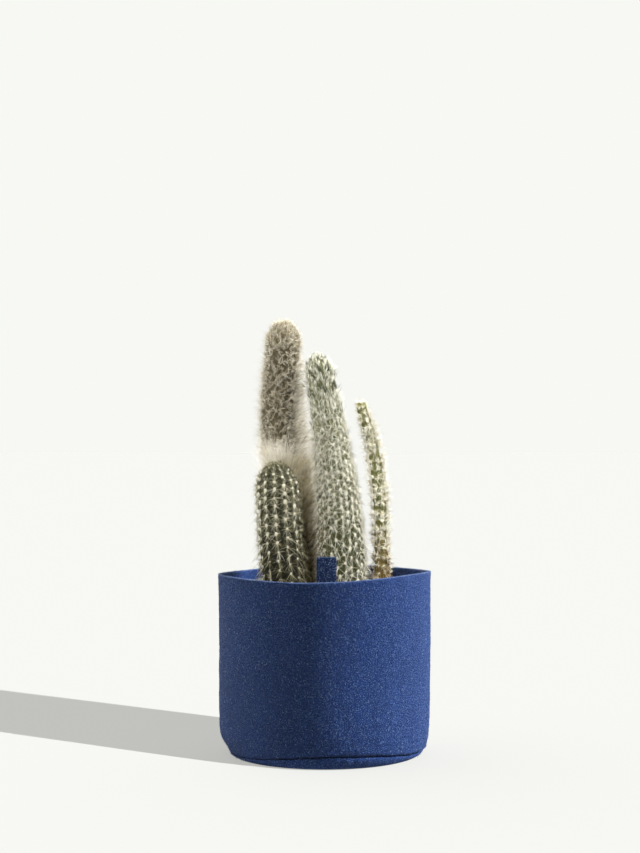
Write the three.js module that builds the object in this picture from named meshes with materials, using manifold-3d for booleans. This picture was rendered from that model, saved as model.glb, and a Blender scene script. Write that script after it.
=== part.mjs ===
// Potted hairy column cactus: four ribbed stems rooted in potting mix, in a thin
// nursery pot that stands inside a sewn felt pot. Millimetres, +Z up, the origin at
// the centre of the felt base where it meets the surface. The front is -Y.
import * as THREE from "three";
import { mergeVertices } from "three/addons/utils/BufferGeometryUtils.js";
import Module from "manifold-3d";

const wasm = await Module();
wasm.setup();

// ---------------------------------------------------------------- driving sizes
const POT_RADIUS = 65; // outer radius of the felt pot at its rim
const POT_HEIGHT = 110; // nominal rim height; the cut edge waves a little about it
const RIM_WAVE = [-0.36, 0.97, -0.46, 0.26, -0.15, -0.18, -0.73]; // mm: mean, cos a, sin a, cos 2a, ...
const FELT_T = 2.6; // felt thickness
const SEGMENTS = 72; // round the pot
const SEAM_Z = 3.0; // lowest height of the seam between wall and base
const SEAM_RISE = 5.1; // the base edge is turned up this much more at the front
const SEAM_FRONT = 6; // degrees right of the front where it is highest
const SEAM_SPREAD = 46; // degrees
const CREASE_DEPTH = 0.9; // the rounded felt edges leave a crease this deep
const THREAD_R = 0.3; // sewing thread
const GAP = 0.3; // free space between pieces that touch

const TAB = { x: 1.0, width: 11.4, thickness: 2.3, bottom: 82, top: 123.6 };

const NURSERY = { footR: 43.5, wallTopR: 55.5, lipR: 58, lipZ: 97.5, top: 102.6, wall: 1.0, standZ: FELT_T + GAP };
const DRAIN_HOLES = 6;
const DRAIN_HOLE_R = 4;

const SOIL_TOP = 98; // mean height of the potting mix
const SOIL_EDGE = 96.4;

// The stems: axis points [x, y, z], body radius at the rib crests at those points,
// and the number of ribs. The first point is the buried end, the last the tip.
const STEMS = {
  stem_tall_back: {
    ribs: 20,
    depth: 1.0,
    rings: 18,
    points: [
      [-11.6, 16.6, 70, 5.5],
      [-11.9, 16.4, 84, 9.8],
      [-12.4, 16.2, 97, 11.0],
      [-14.0, 15.6, 112, 11.2],
      [-17.0, 14.8, 130, 11.0],
      [-20.8, 14.0, 149, 10.8],
      [-24.6, 13.0, 168, 10.7],
      [-27.2, 12.0, 185, 10.6],
      [-28.1, 11.2, 202, 10.6],
      [-27.8, 10.6, 219, 10.5],
      [-26.5, 10.0, 236, 10.2],
      [-25.6, 9.6, 249, 9.6],
      [-25.3, 9.4, 256.6, 8.0],
      [-25.2, 9.4, 261.4, 5.0],
      [-25.2, 9.4, 263.5, 0],
    ],
  },
  stem_short_front: {
    ribs: 13,
    depth: 1.5,
    rings: 15,
    points: [
      [-22.9, -15.6, 70, 6.0],
      [-23.2, -15.7, 84, 10.4],
      [-23.8, -15.8, 98, 11.8],
      [-24.8, -16.0, 111, 12.1],
      [-26.0, -16.1, 124, 12.1],
      [-27.0, -16.2, 138, 12.0],
      [-27.7, -16.2, 151, 11.6],
      [-28.3, -16.1, 162, 10.7],
      [-29.0, -16.0, 169.2, 8.8],
      [-29.5, -15.9, 174.2, 5.4],
      [-29.8, -15.9, 176.4, 0],
    ],
  },
  stem_middle: {
    ribs: 22,
    depth: 0.8,
    rings: 18,
    points: [
      [12.0, -1.6, 68, 7.0],
      [11.9, -1.7, 82, 11.6],
      [11.5, -1.8, 98, 13.0],
      [10.8, -2.0, 112, 13.4],
      [9.8, -2.0, 127, 13.6],
      [8.8, -2.0, 143, 13.1],
      [7.6, -1.8, 160, 12.1],
      [5.6, -1.4, 176, 11.0],
      [3.6, -1.0, 191, 9.8],
      [1.8, -0.6, 204, 8.9],
      [-0.4, -0.2, 217, 8.1],
      [-2.6, 0.2, 229, 7.6],
      [-4.0, 0.5, 236.2, 6.4],
      [-4.7, 0.6, 240.2, 4.0],
      [-4.9, 0.6, 242.0, 0],
    ],
  },
  stem_thin_right: {
    ribs: 8,
    depth: 0.6,
    rings: 16,
    points: [
      [36.2, 4.0, 72, 2.2],
      [36.0, 4.0, 84, 3.5],
      [35.6, 4.0, 98, 3.9],
      [35.2, 4.0, 113, 3.9],
      [34.8, 4.0, 128, 3.8],
      [34.4, 4.0, 143, 3.7],
      [33.6, 4.0, 157, 3.6],
      [32.2, 4.0, 171, 3.6],
      [30.2, 4.0, 184, 3.5],
      [27.9, 4.0, 194.6, 3.4],
      [25.0, 4.0, 203.8, 3.1],
      [23.2, 4.0, 208.8, 2.6],
      [22.1, 4.0, 212.2, 1.7],
      [21.6, 4.0, 213.8, 0],
    ],
  },
};

// ---------------------------------------------------------------- helpers
const clamp01 = (t) => Math.min(1, Math.max(0, t));
const smooth = (a, b, t) => {
  const u = clamp01((t - a) / (b - a));
  return u * u * (3 - 2 * u);
};

// The felt pot's outer radius by height: a straight side over a soft rounded foot.
const SIDE = [
  [0, 57.0], [0.8, 58.6], [1.6, 59.5], [3, 60.6], [5, 61.7], [7, 62.5], [10, 63.3],
  [14, 63.8], [19, 64.1], [26, 64.3], [62, 64.5], [96, 64.7], [POT_HEIGHT, POT_RADIUS], [200, POT_RADIUS],
];
function side(z, phi) {
  let i = 0;
  while (i < SIDE.length - 2 && z > SIDE[i + 1][0]) i++;
  const [z0, r0] = SIDE[i];
  const [z1, r1] = SIDE[i + 1];
  const r = r0 + ((r1 - r0) * (Math.max(z, 0) - z0)) / (z1 - z0);
  // the left foot is rounder than the right
  const left = Math.max(0, -Math.cos(phi)) ** 1.5;
  return r - 2.2 * left * Math.exp(-(((z - 4.5) / 5) ** 2));
}

// How far the seam stands above its lowest height, round the pot.
function seamRise(phi) {
  let a = THREE.MathUtils.radToDeg(phi) + 90 - SEAM_FRONT;
  a = ((((a + 180) % 360) + 360) % 360) - 180;
  return SEAM_RISE * Math.exp(-((a / SEAM_SPREAD) ** 2));
}

// Turns a three.js surface of revolution (about Y) to stand on Z, keeping its facing.
const upright = (g) => g.applyMatrix4(new THREE.Matrix4().set(0, 0, 1, 0, 1, 0, 0, 0, 0, 1, 0, 0, 0, 0, 0, 1));

function mapVertices(g, f) {
  const p = g.getAttribute("position");
  const v = new THREE.Vector3();
  for (let i = 0; i < p.count; i++) {
    v.fromBufferAttribute(p, i);
    const phi = Math.atan2(v.y, v.x);
    const r = Math.hypot(v.x, v.y);
    f(v, r, phi);
    p.setXYZ(i, v.x, v.y, v.z);
  }
  return g;
}

function lathe(profile, segments) {
  const pts = profile.map(([r, z]) => new THREE.Vector2(r, z));
  return upright(new THREE.LatheGeometry(pts, segments));
}

function toSolid(g) {
  const bare = new THREE.BufferGeometry().setAttribute("position", g.getAttribute("position").clone());
  if (g.index) bare.setIndex(g.index.clone());
  const m = mergeVertices(bare.toNonIndexed(), 1e-4);
  return new wasm.Manifold(
    new wasm.Mesh({
      numProp: 3,
      vertProperties: new Float32Array(m.getAttribute("position").array),
      triVerts: new Uint32Array(m.index.array),
    }),
  );
}

function toGeometry(solid) {
  const m = solid.getMesh();
  const n = m.numProp;
  const v = new Float32Array(m.numVert * 3);
  for (let i = 0; i < m.numVert; i++) v.set(m.vertProperties.subarray(i * n, i * n + 3), i * 3);
  return new THREE.BufferGeometry()
    .setAttribute("position", new THREE.BufferAttribute(v, 3))
    .setIndex(new THREE.BufferAttribute(new Uint32Array(m.triVerts), 1));
}

const group = new THREE.Group();
function add(name, geometry, color, roughness, metalness = 0) {
  geometry.computeVertexNormals();
  const mesh = new THREE.Mesh(geometry, new THREE.MeshStandardMaterial({ color, roughness, metalness }));
  mesh.name = name;
  group.add(mesh);
  return mesh;
}

// ---------------------------------------------------------------- felt pot
// How far the cut rim stands off its nominal height, round the pot.
function rimWave(phi) {
  let z = RIM_WAVE[0];
  for (let k = 1; k <= 3; k++) z += RIM_WAVE[2 * k - 1] * Math.cos(k * phi) + RIM_WAVE[2 * k] * Math.sin(k * phi);
  return z;
}

// Moves a point of the plain round pot to the real one: the seam height varies round
// the foot, the side follows it, and the rim waves.
function feltPoint(v, r, phi) {
  const z0 = v.z;
  const rise = seamRise(phi) * (1 - smooth(SEAM_Z, 30, z0)) * clamp01(z0 / SEAM_Z);
  const z1 = z0 + rise;
  const r1 = r + side(z1, phi) - side(z0, 0);
  v.x = r1 * Math.cos(phi);
  v.y = r1 * Math.sin(phi);
  v.z = z1 + rimWave(phi) * smooth(40, POT_HEIGHT, z0);
}

const at = (z) => side(z, 0);
const wallLow = SEAM_Z + GAP / 2;
const wallProfile = [
  [at(wallLow) - CREASE_DEPTH, wallLow],
  [at(4), 4],
  [at(5.5), 5.5],
  [at(8), 8],
  [at(12), 12],
  [at(18), 18],
  [at(27), 27],
  [at(62), 62],
  [at(96), 96],
  [at(POT_HEIGHT - 0.7), POT_HEIGHT - 0.7],
  [at(POT_HEIGHT) - 0.5, POT_HEIGHT],
  [at(POT_HEIGHT) - FELT_T + 0.6, POT_HEIGHT],
  [at(POT_HEIGHT) - FELT_T, POT_HEIGHT - 0.7],
  [at(96) - FELT_T, 96],
  [at(62) - FELT_T, 62],
  [at(27) - FELT_T, 27],
  [at(18) - FELT_T, 18],
  [at(12) - FELT_T, 12],
  [at(8) - FELT_T, 8],
  [at(5.5) - FELT_T, 5.5],
  [at(wallLow) - FELT_T, wallLow],
  [at(wallLow) - CREASE_DEPTH, wallLow],
];
const wall = toSolid(mapVertices(lathe(wallProfile, SEGMENTS), feltPoint));

// The strip's two ends meet at the back in a shallow sewn groove.
const groove = new THREE.Shape();
groove.moveTo(-0.75, 0);
groove.lineTo(0, -1.3);
groove.lineTo(0.75, 0);
groove.lineTo(0.75, 1);
groove.lineTo(-0.75, 1);
groove.closePath();
const grooveCut = new THREE.ExtrudeGeometry(groove, { depth: 120, bevelEnabled: false, steps: 1 });
grooveCut.translate(0, POT_RADIUS, 4);
add("felt_wall", toGeometry(wall.subtract(toSolid(grooveCut))), 0x24407c, 0.95);

const sideThread = new THREE.CylinderGeometry(THREAD_R, THREAD_R, 78, 6);
sideThread.rotateX(Math.PI / 2);
sideThread.translate(0, POT_RADIUS - 0.5, 29 + 39);
add("side_seam_thread", sideThread, 0x1c2f5c, 0.7);

const baseTop = SEAM_Z - GAP / 2;
const baseProfile = [
  [0, 0],
  [30, 0],
  [at(0) - 0.4, 0],
  [at(0.8), 0.8],
  [at(2), 2],
  [at(baseTop) - CREASE_DEPTH, baseTop],
  [at(baseTop) - FELT_T, baseTop],
  [50, FELT_T],
  [30, FELT_T],
  [0, FELT_T],
];
const base = mapVertices(lathe(baseProfile, SEGMENTS), (v, r, phi) => {
  if (r < 49) return;
  if (r < 52) return; // the ring where the turned-up edge begins stays flat
  feltPoint(v, r, phi);
});
add("felt_base", base, 0x213a70, 0.95);

const seamThread = mapVertices(
  new THREE.TorusGeometry(at(SEAM_Z) - 0.35, THREAD_R, 5, SEGMENTS),
  (v, r, phi) => {
    v.z += SEAM_Z;
    const z0 = v.z;
    v.z = z0 + seamRise(phi);
    const r1 = r + side(SEAM_Z + seamRise(phi), phi) - side(SEAM_Z, 0);
    v.x = r1 * Math.cos(phi);
    v.y = r1 * Math.sin(phi);
  },
);
add("base_seam_thread", seamThread, 0x1c2f5c, 0.7);

// A short strip of the same felt, fixed inside the front of the wall.
const tabShape = new THREE.Shape();
const hw = TAB.width / 2;
tabShape.moveTo(-hw, TAB.bottom);
tabShape.lineTo(hw, TAB.bottom);
tabShape.lineTo(hw, TAB.top - 0.8);
tabShape.quadraticCurveTo(hw, TAB.top, hw - 0.8, TAB.top);
tabShape.lineTo(-hw + 0.8, TAB.top);
tabShape.quadraticCurveTo(-hw, TAB.top, -hw, TAB.top - 0.8);
tabShape.closePath();
const tab = new THREE.ExtrudeGeometry(tabShape, { depth: TAB.thickness, bevelEnabled: false, steps: 1, curveSegments: 3 });
tab.rotateX(Math.PI / 2); // the sheet stands up, its thickness along -Y
const tabOuterY = -(Math.sqrt((POT_RADIUS - FELT_T) ** 2 - (hw + TAB.x) ** 2) - GAP - 0.15);
tab.translate(TAB.x, tabOuterY + TAB.thickness, 0);
add("felt_tab", tab, 0x1f3566, 0.95);

// ---------------------------------------------------------------- nursery pot
const N = NURSERY;
const potProfile = [
  [0, N.standZ + 2.2],
  [N.footR - 2.6, N.standZ + 2.2],
  [N.footR - 1.6, N.standZ],
  [N.footR, N.standZ],
  [N.wallTopR, N.lipZ - 1.5],
  [N.lipR, N.lipZ],
  [N.lipR, N.top],
  [N.lipR - N.wall, N.top],
  [N.lipR - N.wall, N.lipZ + 0.8],
  [N.wallTopR - N.wall, N.lipZ - 0.9],
  [N.footR - N.wall - 0.1, N.standZ + 3.2],
  [0, N.standZ + 3.2],
];
let nursery = toSolid(lathe(potProfile, SEGMENTS));
for (let i = 0; i < DRAIN_HOLES; i++) {
  const a = (i / DRAIN_HOLES) * Math.PI * 2 + 0.26;
  const hole = new THREE.CylinderGeometry(DRAIN_HOLE_R, DRAIN_HOLE_R, 8, 12);
  hole.rotateX(Math.PI / 2);
  hole.translate(32 * Math.cos(a), 32 * Math.sin(a), N.standZ + 2.7);
  nursery = nursery.subtract(toSolid(hole));
}
add("nursery_pot", toGeometry(nursery), 0x1b1b1c, 0.45);

// ---------------------------------------------------------------- stems
// A surface of revolution whose height runs along the stem's axis curve. ribDepth is
// the depth of the grooves between the ribs; they fade out towards the root.
function stemGeometry({ points, ribs, depth, rings }, { segments, swell = 0, plain = false, stretch = 0 } = {}) {
  const axis = new THREE.CatmullRomCurve3(points.map(([x, y, z]) => new THREE.Vector3(x, y, z)), false, "centripetal");
  const radius = new THREE.CatmullRomCurve3(points.map(([, , z, r]) => new THREE.Vector3(r, z, 0)), false, "centripetal");
  const n = segments ?? ribs * (ribs < 16 ? 4 : 2);
  const profile = [new THREE.Vector2(0, 0)];
  for (let i = 0; i < rings; i++) {
    // rings crowd towards the rounded tip
    const t = i / (rings - 1);
    profile.push(new THREE.Vector2(1, 1 - (1 - t) ** 1.25));
  }
  profile.pop();
  profile.push(new THREE.Vector2(0, 1));
  const g = upright(new THREE.LatheGeometry(profile, n));
  const frameX = new THREE.Vector3(1, 0, 0);
  return mapVertices(g, (v, r, phi) => {
    const t = clamp01(v.z);
    const centre = axis.getPoint(t);
    const along = axis.getTangent(t);
    const ex = frameX.clone().addScaledVector(along, -frameX.dot(along)).normalize();
    const ey = along.clone().cross(ex);
    let body = Math.max(0, radius.getPoint(t).x) + swell;
    if (!plain && r > 0.5) {
      const shown = smooth(0.2, 0.3, t);
      // odd columns of the section lie in the grooves
      const groove = 0.5 - 0.5 * Math.cos(phi * ribs);
      body -= depth * shown * groove * Math.min(1, body / 4);
    }
    if (r < 0.5) body = 0;
    const end = stretch && t === 0 ? along.clone().multiplyScalar(-stretch) : new THREE.Vector3();
    v.copy(centre).add(end).addScaledVector(ex, body * Math.cos(phi)).addScaledVector(ey, body * Math.sin(phi));
  });
}

const colours = {
  stem_tall_back: 0x9c9580,
  stem_short_front: 0x5f6b45,
  stem_middle: 0x8f9779,
  stem_thin_right: 0xa7a577,
};
for (const [name, stem] of Object.entries(STEMS)) add(name, stemGeometry(stem), colours[name], 0.8);

// ---------------------------------------------------------------- potting mix
const soilProfile = [
  [0, N.standZ + 3.2 + GAP],
  [N.footR - N.wall - 0.1 - 0.35, N.standZ + 3.2 + GAP],
  [N.wallTopR - N.wall - 0.45, SOIL_EDGE - 1.0],
  [N.wallTopR - N.wall - 1.4, SOIL_EDGE],
  [46, SOIL_TOP - 0.6],
  [37, SOIL_TOP],
  [27, SOIL_TOP],
  [17, SOIL_TOP],
  [8, SOIL_TOP],
  [0, SOIL_TOP],
];
const soil = mapVertices(lathe(soilProfile, 40), (v, r, phi) => {
  if (v.z > SOIL_EDGE + 0.1)
    v.z += 0.55 * Math.sin(0.31 * v.x + 1.3) * Math.cos(0.27 * v.y - 0.6) + 0.35 * Math.sin(0.55 * v.y + 0.2 * v.x);
});
let mix = toSolid(soil);
for (const stem of Object.values(STEMS)) {
  const socket = stemGeometry(stem, { segments: 20, swell: 0.55, plain: true, stretch: 0.4 });
  mix = mix.subtract(toSolid(socket));
}
add("potting_mix", toGeometry(mix), 0x2a2019, 1.0);

export default group;
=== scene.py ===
import math

import bmesh
import bpy
import numpy as np
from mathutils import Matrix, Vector
from mathutils.geometry import delaunay_2d_cdt


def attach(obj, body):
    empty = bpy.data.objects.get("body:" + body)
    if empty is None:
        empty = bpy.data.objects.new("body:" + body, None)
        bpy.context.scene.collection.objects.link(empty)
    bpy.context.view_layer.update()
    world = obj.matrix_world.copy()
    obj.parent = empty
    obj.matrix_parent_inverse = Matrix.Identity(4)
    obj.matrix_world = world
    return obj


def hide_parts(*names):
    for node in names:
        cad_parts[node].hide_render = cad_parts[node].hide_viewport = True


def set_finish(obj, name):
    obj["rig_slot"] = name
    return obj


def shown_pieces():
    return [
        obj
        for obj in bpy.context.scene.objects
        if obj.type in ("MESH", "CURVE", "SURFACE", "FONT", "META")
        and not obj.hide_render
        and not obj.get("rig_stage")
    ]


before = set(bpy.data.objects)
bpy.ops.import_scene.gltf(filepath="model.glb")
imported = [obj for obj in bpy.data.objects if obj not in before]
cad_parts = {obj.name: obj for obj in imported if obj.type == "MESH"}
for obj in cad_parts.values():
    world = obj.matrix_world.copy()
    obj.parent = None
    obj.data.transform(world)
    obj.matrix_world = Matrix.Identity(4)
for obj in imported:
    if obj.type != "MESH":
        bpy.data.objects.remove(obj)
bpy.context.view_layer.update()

MM = 0.001
TAU = 2 * math.pi


# ------------------------------------------------------------------ small helpers
def lin(r, g, b):
    """A colour given as 0-255 display values, as linear light."""
    out = []
    for c in (r, g, b):
        c = c / 255
        out.append(c / 12.92 if c <= 0.04045 else ((c + 0.055) / 1.055) ** 2.4)
    return (*out, 1.0)


def unit(v):
    return v / np.maximum(np.linalg.norm(v, axis=-1, keepdims=True), 1e-12)


def smooth(a, b, t):
    u = np.clip((t - a) / (b - a), 0, 1)
    return u * u * (3 - 2 * u)


def noise(p, size, seed=0):
    """Smooth value noise in -1..1 at points p, with lumps of about the given size."""
    q = np.asarray(p, float) / size + 1000.0 + seed * 17.31
    i = np.floor(q).astype(np.int64)
    f = q - i
    f = f * f * (3 - 2 * f)

    def corner(dx, dy, dz):
        n = (i[..., 0] + dx) * 374761393 + (i[..., 1] + dy) * 668265263 + (i[..., 2] + dz) * 1440662683 + seed * 977
        n = (n ^ (n >> 13)) & 0xFFFFFFFF
        n = (n * 1274126177) & 0xFFFFFFFF
        n = n ^ (n >> 16)
        return (n & 0xFFFF) / 32767.5 - 1.0

    x, y, z = f[..., 0], f[..., 1], f[..., 2]
    c00 = corner(0, 0, 0) * (1 - x) + corner(1, 0, 0) * x
    c10 = corner(0, 1, 0) * (1 - x) + corner(1, 1, 0) * x
    c01 = corner(0, 0, 1) * (1 - x) + corner(1, 0, 1) * x
    c11 = corner(0, 1, 1) * (1 - x) + corner(1, 1, 1) * x
    return (c00 * (1 - y) + c10 * y) * (1 - z) + (c01 * (1 - y) + c11 * y) * z


def rows_xyz(x, y, z):
    return np.stack(np.broadcast_arrays(x, y, z), axis=-1).astype(float)


def mesh_object(name, verts, polys, uvs=None, attrs=None, mat=None, soft=True):
    """A mesh object from points in millimetres and arrays of equal-sided faces."""
    me = bpy.data.meshes.new(name)
    verts = np.asarray(verts, float).reshape(-1, 3)
    me.vertices.add(len(verts))
    me.vertices.foreach_set("co", (verts * MM).astype(np.float32).ravel())
    polys = [np.asarray(p, np.int32) for p in polys if len(p)]
    idx = np.concatenate([p.ravel() for p in polys])
    sizes = np.concatenate([np.full(len(p), p.shape[1], np.int32) for p in polys])
    me.loops.add(len(idx))
    me.loops.foreach_set("vertex_index", idx)
    me.polygons.add(len(sizes))
    me.polygons.foreach_set("loop_start", np.concatenate([[0], np.cumsum(sizes)[:-1]]).astype(np.int32))
    me.polygons.foreach_set("use_smooth", np.full(len(sizes), soft))
    me.update(calc_edges=True)
    if uvs is not None:
        lay = me.uv_layers.new(name="OFBake")
        flat = np.concatenate([np.asarray(u, np.float32).reshape(-1, 2) for u in uvs if len(u)])
        lay.uv.foreach_set("vector", flat.ravel())
    for key, val in (attrs or {}).items():
        a = me.attributes.new(key, "FLOAT", "POINT")
        a.data.foreach_set("value", np.asarray(val, np.float32).ravel())
    me.validate()
    ob = bpy.data.objects.new(name, me)
    bpy.context.scene.collection.objects.link(ob)
    if mat is not None:
        me.materials.append(mat)
    return ob


def grid(rows, cols, close_cols=True):
    """Quads over a rows x cols grid of points, wrapped round the columns."""
    r = np.arange(rows - 1)[:, None]
    c = np.arange(cols if close_cols else cols - 1)[None, :]
    n = (c + 1) % cols
    a, b = r * cols + c, r * cols + n
    d, e = (r + 1) * cols + n, (r + 1) * cols + c
    return np.stack(np.broadcast_arrays(a, b, d, e), axis=-1).reshape(-1, 4)


def grid_uv(us, vs, wrap=True):
    """Loop UVs that match grid(): us are the columns' values and, if wrapped, the closing one."""
    rows = len(vs)
    u0, u1 = us[:-1][None, :], us[1:][None, :]
    v0, v1 = vs[:-1][:, None], vs[1:][:, None]
    one = np.ones((rows - 1, len(us) - 1))
    return np.stack(
        [
            np.stack([u0 * one, v0 * one], -1),
            np.stack([u1 * one, v0 * one], -1),
            np.stack([u1 * one, v1 * one], -1),
            np.stack([u0 * one, v1 * one], -1),
        ],
        axis=2,
    ).reshape(-1, 4, 2)


# ------------------------------------------------------------------ materials
class Mat:
    """A node material round one Principled shader."""

    def __init__(self, name, **const):
        self.m = bpy.data.materials.new(name)
        self.m.use_nodes = True
        self.nt = self.m.node_tree
        self.nt.nodes.clear()
        self.out = self.nt.nodes.new("ShaderNodeOutputMaterial")
        self.bsdf = self.nt.nodes.new("ShaderNodeBsdfPrincipled")
        self.nt.links.new(self.bsdf.outputs[0], self.out.inputs[0])
        for k, v in const.items():
            self.bsdf.inputs[k.replace("_", " ")].default_value = v

    def node(self, kind, **props):
        n = self.nt.nodes.new(kind)
        for k, v in props.items():
            setattr(n, k, v)
        return n

    def link(self, a, b):
        self.nt.links.new(a, b)

    def coords(self):
        return self.node("ShaderNodeTexCoord").outputs["Object"]

    def noise(self, vec, scale, detail=2.0, rough=0.5, distort=0.0):
        n = self.node("ShaderNodeTexNoise")
        n.inputs["Scale"].default_value = scale
        n.inputs["Detail"].default_value = detail
        n.inputs["Roughness"].default_value = rough
        n.inputs["Distortion"].default_value = distort
        self.link(vec, n.inputs["Vector"])
        return n.outputs["Fac"]

    def scaled(self, vec, x, y, z):
        n = self.node("ShaderNodeMapping")
        n.inputs["Scale"].default_value = (x, y, z)
        self.link(vec, n.inputs["Vector"])
        return n.outputs[0]

    def ramp(self, fac, stops, mode="LINEAR"):
        n = self.node("ShaderNodeValToRGB")
        n.color_ramp.interpolation = mode
        el = n.color_ramp.elements
        while len(el) > 1:
            el.remove(el[-1])
        el[0].position, el[0].color = stops[0][0], stops[0][1]
        for p, c in stops[1:]:
            e = el.new(p)
            e.color = c
        self.link(fac, n.inputs[0])
        return n.outputs[0]

    def grey(self, fac, stops):
        return self.ramp(fac, [(p, (v, v, v, 1)) for p, v in stops])

    def mix(self, fac, a, b, mode="MIX"):
        n = self.node("ShaderNodeMix", data_type="RGBA", blend_type=mode)
        for val, sock in ((fac, n.inputs[0]), (a, n.inputs[6]), (b, n.inputs[7])):
            if isinstance(val, (int, float)):
                sock.default_value = val
            elif isinstance(val, tuple):
                sock.default_value = val
            else:
                self.link(val, sock)
        return n.outputs[2]

    def math(self, op, a, b=None, clamp=False):
        n = self.node("ShaderNodeMath", operation=op, use_clamp=clamp)
        for val, sock in ((a, n.inputs[0]), (b, n.inputs[1])):
            if val is None:
                continue
            if isinstance(val, (int, float)):
                sock.default_value = val
            else:
                self.link(val, sock)
        return n.outputs[0]

    def attr(self, name):
        n = self.node("ShaderNodeAttribute", attribute_name=name, attribute_type="GEOMETRY")
        return n.outputs["Fac"]

    def uv(self):
        n = self.node("ShaderNodeUVMap", uv_map="OFBake")
        s = self.node("ShaderNodeSeparateXYZ")
        self.link(n.outputs[0], s.inputs[0])
        return s.outputs[0], s.outputs[1]

    def bump(self, height, strength, distance):
        n = self.node("ShaderNodeBump")
        n.inputs["Strength"].default_value = strength
        n.inputs["Distance"].default_value = distance
        self.link(height, n.inputs["Height"])
        self.link(n.outputs[0], self.bsdf.inputs["Normal"])

    def base(self, colour):
        self.link(colour, self.bsdf.inputs["Base Color"])

    def rough(self, value):
        self.link(value, self.bsdf.inputs["Roughness"])


def felt_material(name, shift=0.0, shade=1.0, flecks=0.62, fleck_size=2900, fleck_from=0.64):
    """Needle felt: dark blue wool with finer, paler fibres through it; the cut edge is paler, partly the cut fibres'
    own colour and partly a painted highlight along the rim.
    """
    m = Mat(name, Sheen_Weight=0.13, Sheen_Roughness=0.4, Specular_IOR_Level=0.25)
    m.bsdf.inputs["Sheen Tint"].default_value = lin(135, 170, 232)
    co = m.coords()
    moved = m.node("ShaderNodeMapping")
    moved.inputs["Location"].default_value = (shift, shift * 0.7, shift * 1.3)
    m.link(co, moved.inputs["Vector"])
    co = moved.outputs[0]
    broad = m.noise(m.scaled(co, 1, 1, 0.35), 60, 3, 0.6)
    tangle = m.noise(co, 1300, 2, 0.6, 1.2)
    grain = m.noise(co, 2700, 1, 0.5)
    field = m.math("ADD", m.math("MULTIPLY", tangle, 0.35), m.math("MULTIPLY", grain, 0.65))
    tone = m.math("ADD", field, m.math("MULTIPLY", m.math("SUBTRACT", broad, 0.5), 0.12))
    base = m.ramp(tone, [(0.36, shaded(FELT_DARK, shade)), (0.50, shaded(FELT_MID, shade)), (0.64, shaded(FELT_LIGHT, shade))])
    speck = m.noise(co, fleck_size, 0, 0.5)
    base = m.mix(m.grey(speck, [(fleck_from, 0.0), (fleck_from + 0.12, flecks)]), base, shaded(FELT_FLECK, shade))
    # paler cut edge: partly the cut felt's colour, partly a painted highlight where the rim's edge catches the light
    edge = m.ramp(grain, [(0.3, lin(60, 80, 130)), (0.7, lin(150, 168, 206))])
    base = m.mix(m.attr("cut_edge_and_highlight"), base, edge)
    m.base(base)
    m.rough(m.grey(tangle, [(0.3, 0.95), (0.7, 0.8)]))
    relief = m.math("ADD", m.math("MULTIPLY", tangle, 0.7), m.math("MULTIPLY", grain, 0.3))
    m.bump(relief, 1.0, 0.0024)
    return m.m


def shaded(c, k):
    return (c[0] * k, c[1] * k, c[2] * k, 1.0)


FELT_DARK, FELT_MID, FELT_LIGHT, FELT_FLECK = lin(17, 36, 77), lin(25, 52, 110), lin(35, 71, 143), lin(156, 192, 246)
felt_mat = felt_material("felt_blue")
# the base band is the same felt painted 1.24 times brighter: painted light on a band that faces downward
felt_base_mat = felt_material("felt_blue_base", shade=1.24)
# the tab is the same felt painted 0.62 times as bright: painted shade on the tab, with stronger flecks
felt_tab_mat = felt_material("felt_blue_tab", shift=0.31, shade=0.62, flecks=1.0, fleck_size=1900, fleck_from=0.62)


def strand_material(name, stops, rough=0.55, root=0.55, tip=1.0, **const):
    """Spines and hair: U of the map says the tone, V how far along the strand."""
    m = Mat(name, Specular_IOR_Level=0.35, **const)
    u, v = m.uv()
    tone = m.ramp(u, stops)
    along = m.grey(v, [(0.0, root), (0.35, 0.95), (1.0, tip)])
    m.base(m.mix(1.0, tone, along, "MULTIPLY"))
    m.rough(m.grey(v, [(0.0, rough + 0.15), (1.0, rough)]))
    return m.m


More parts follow.
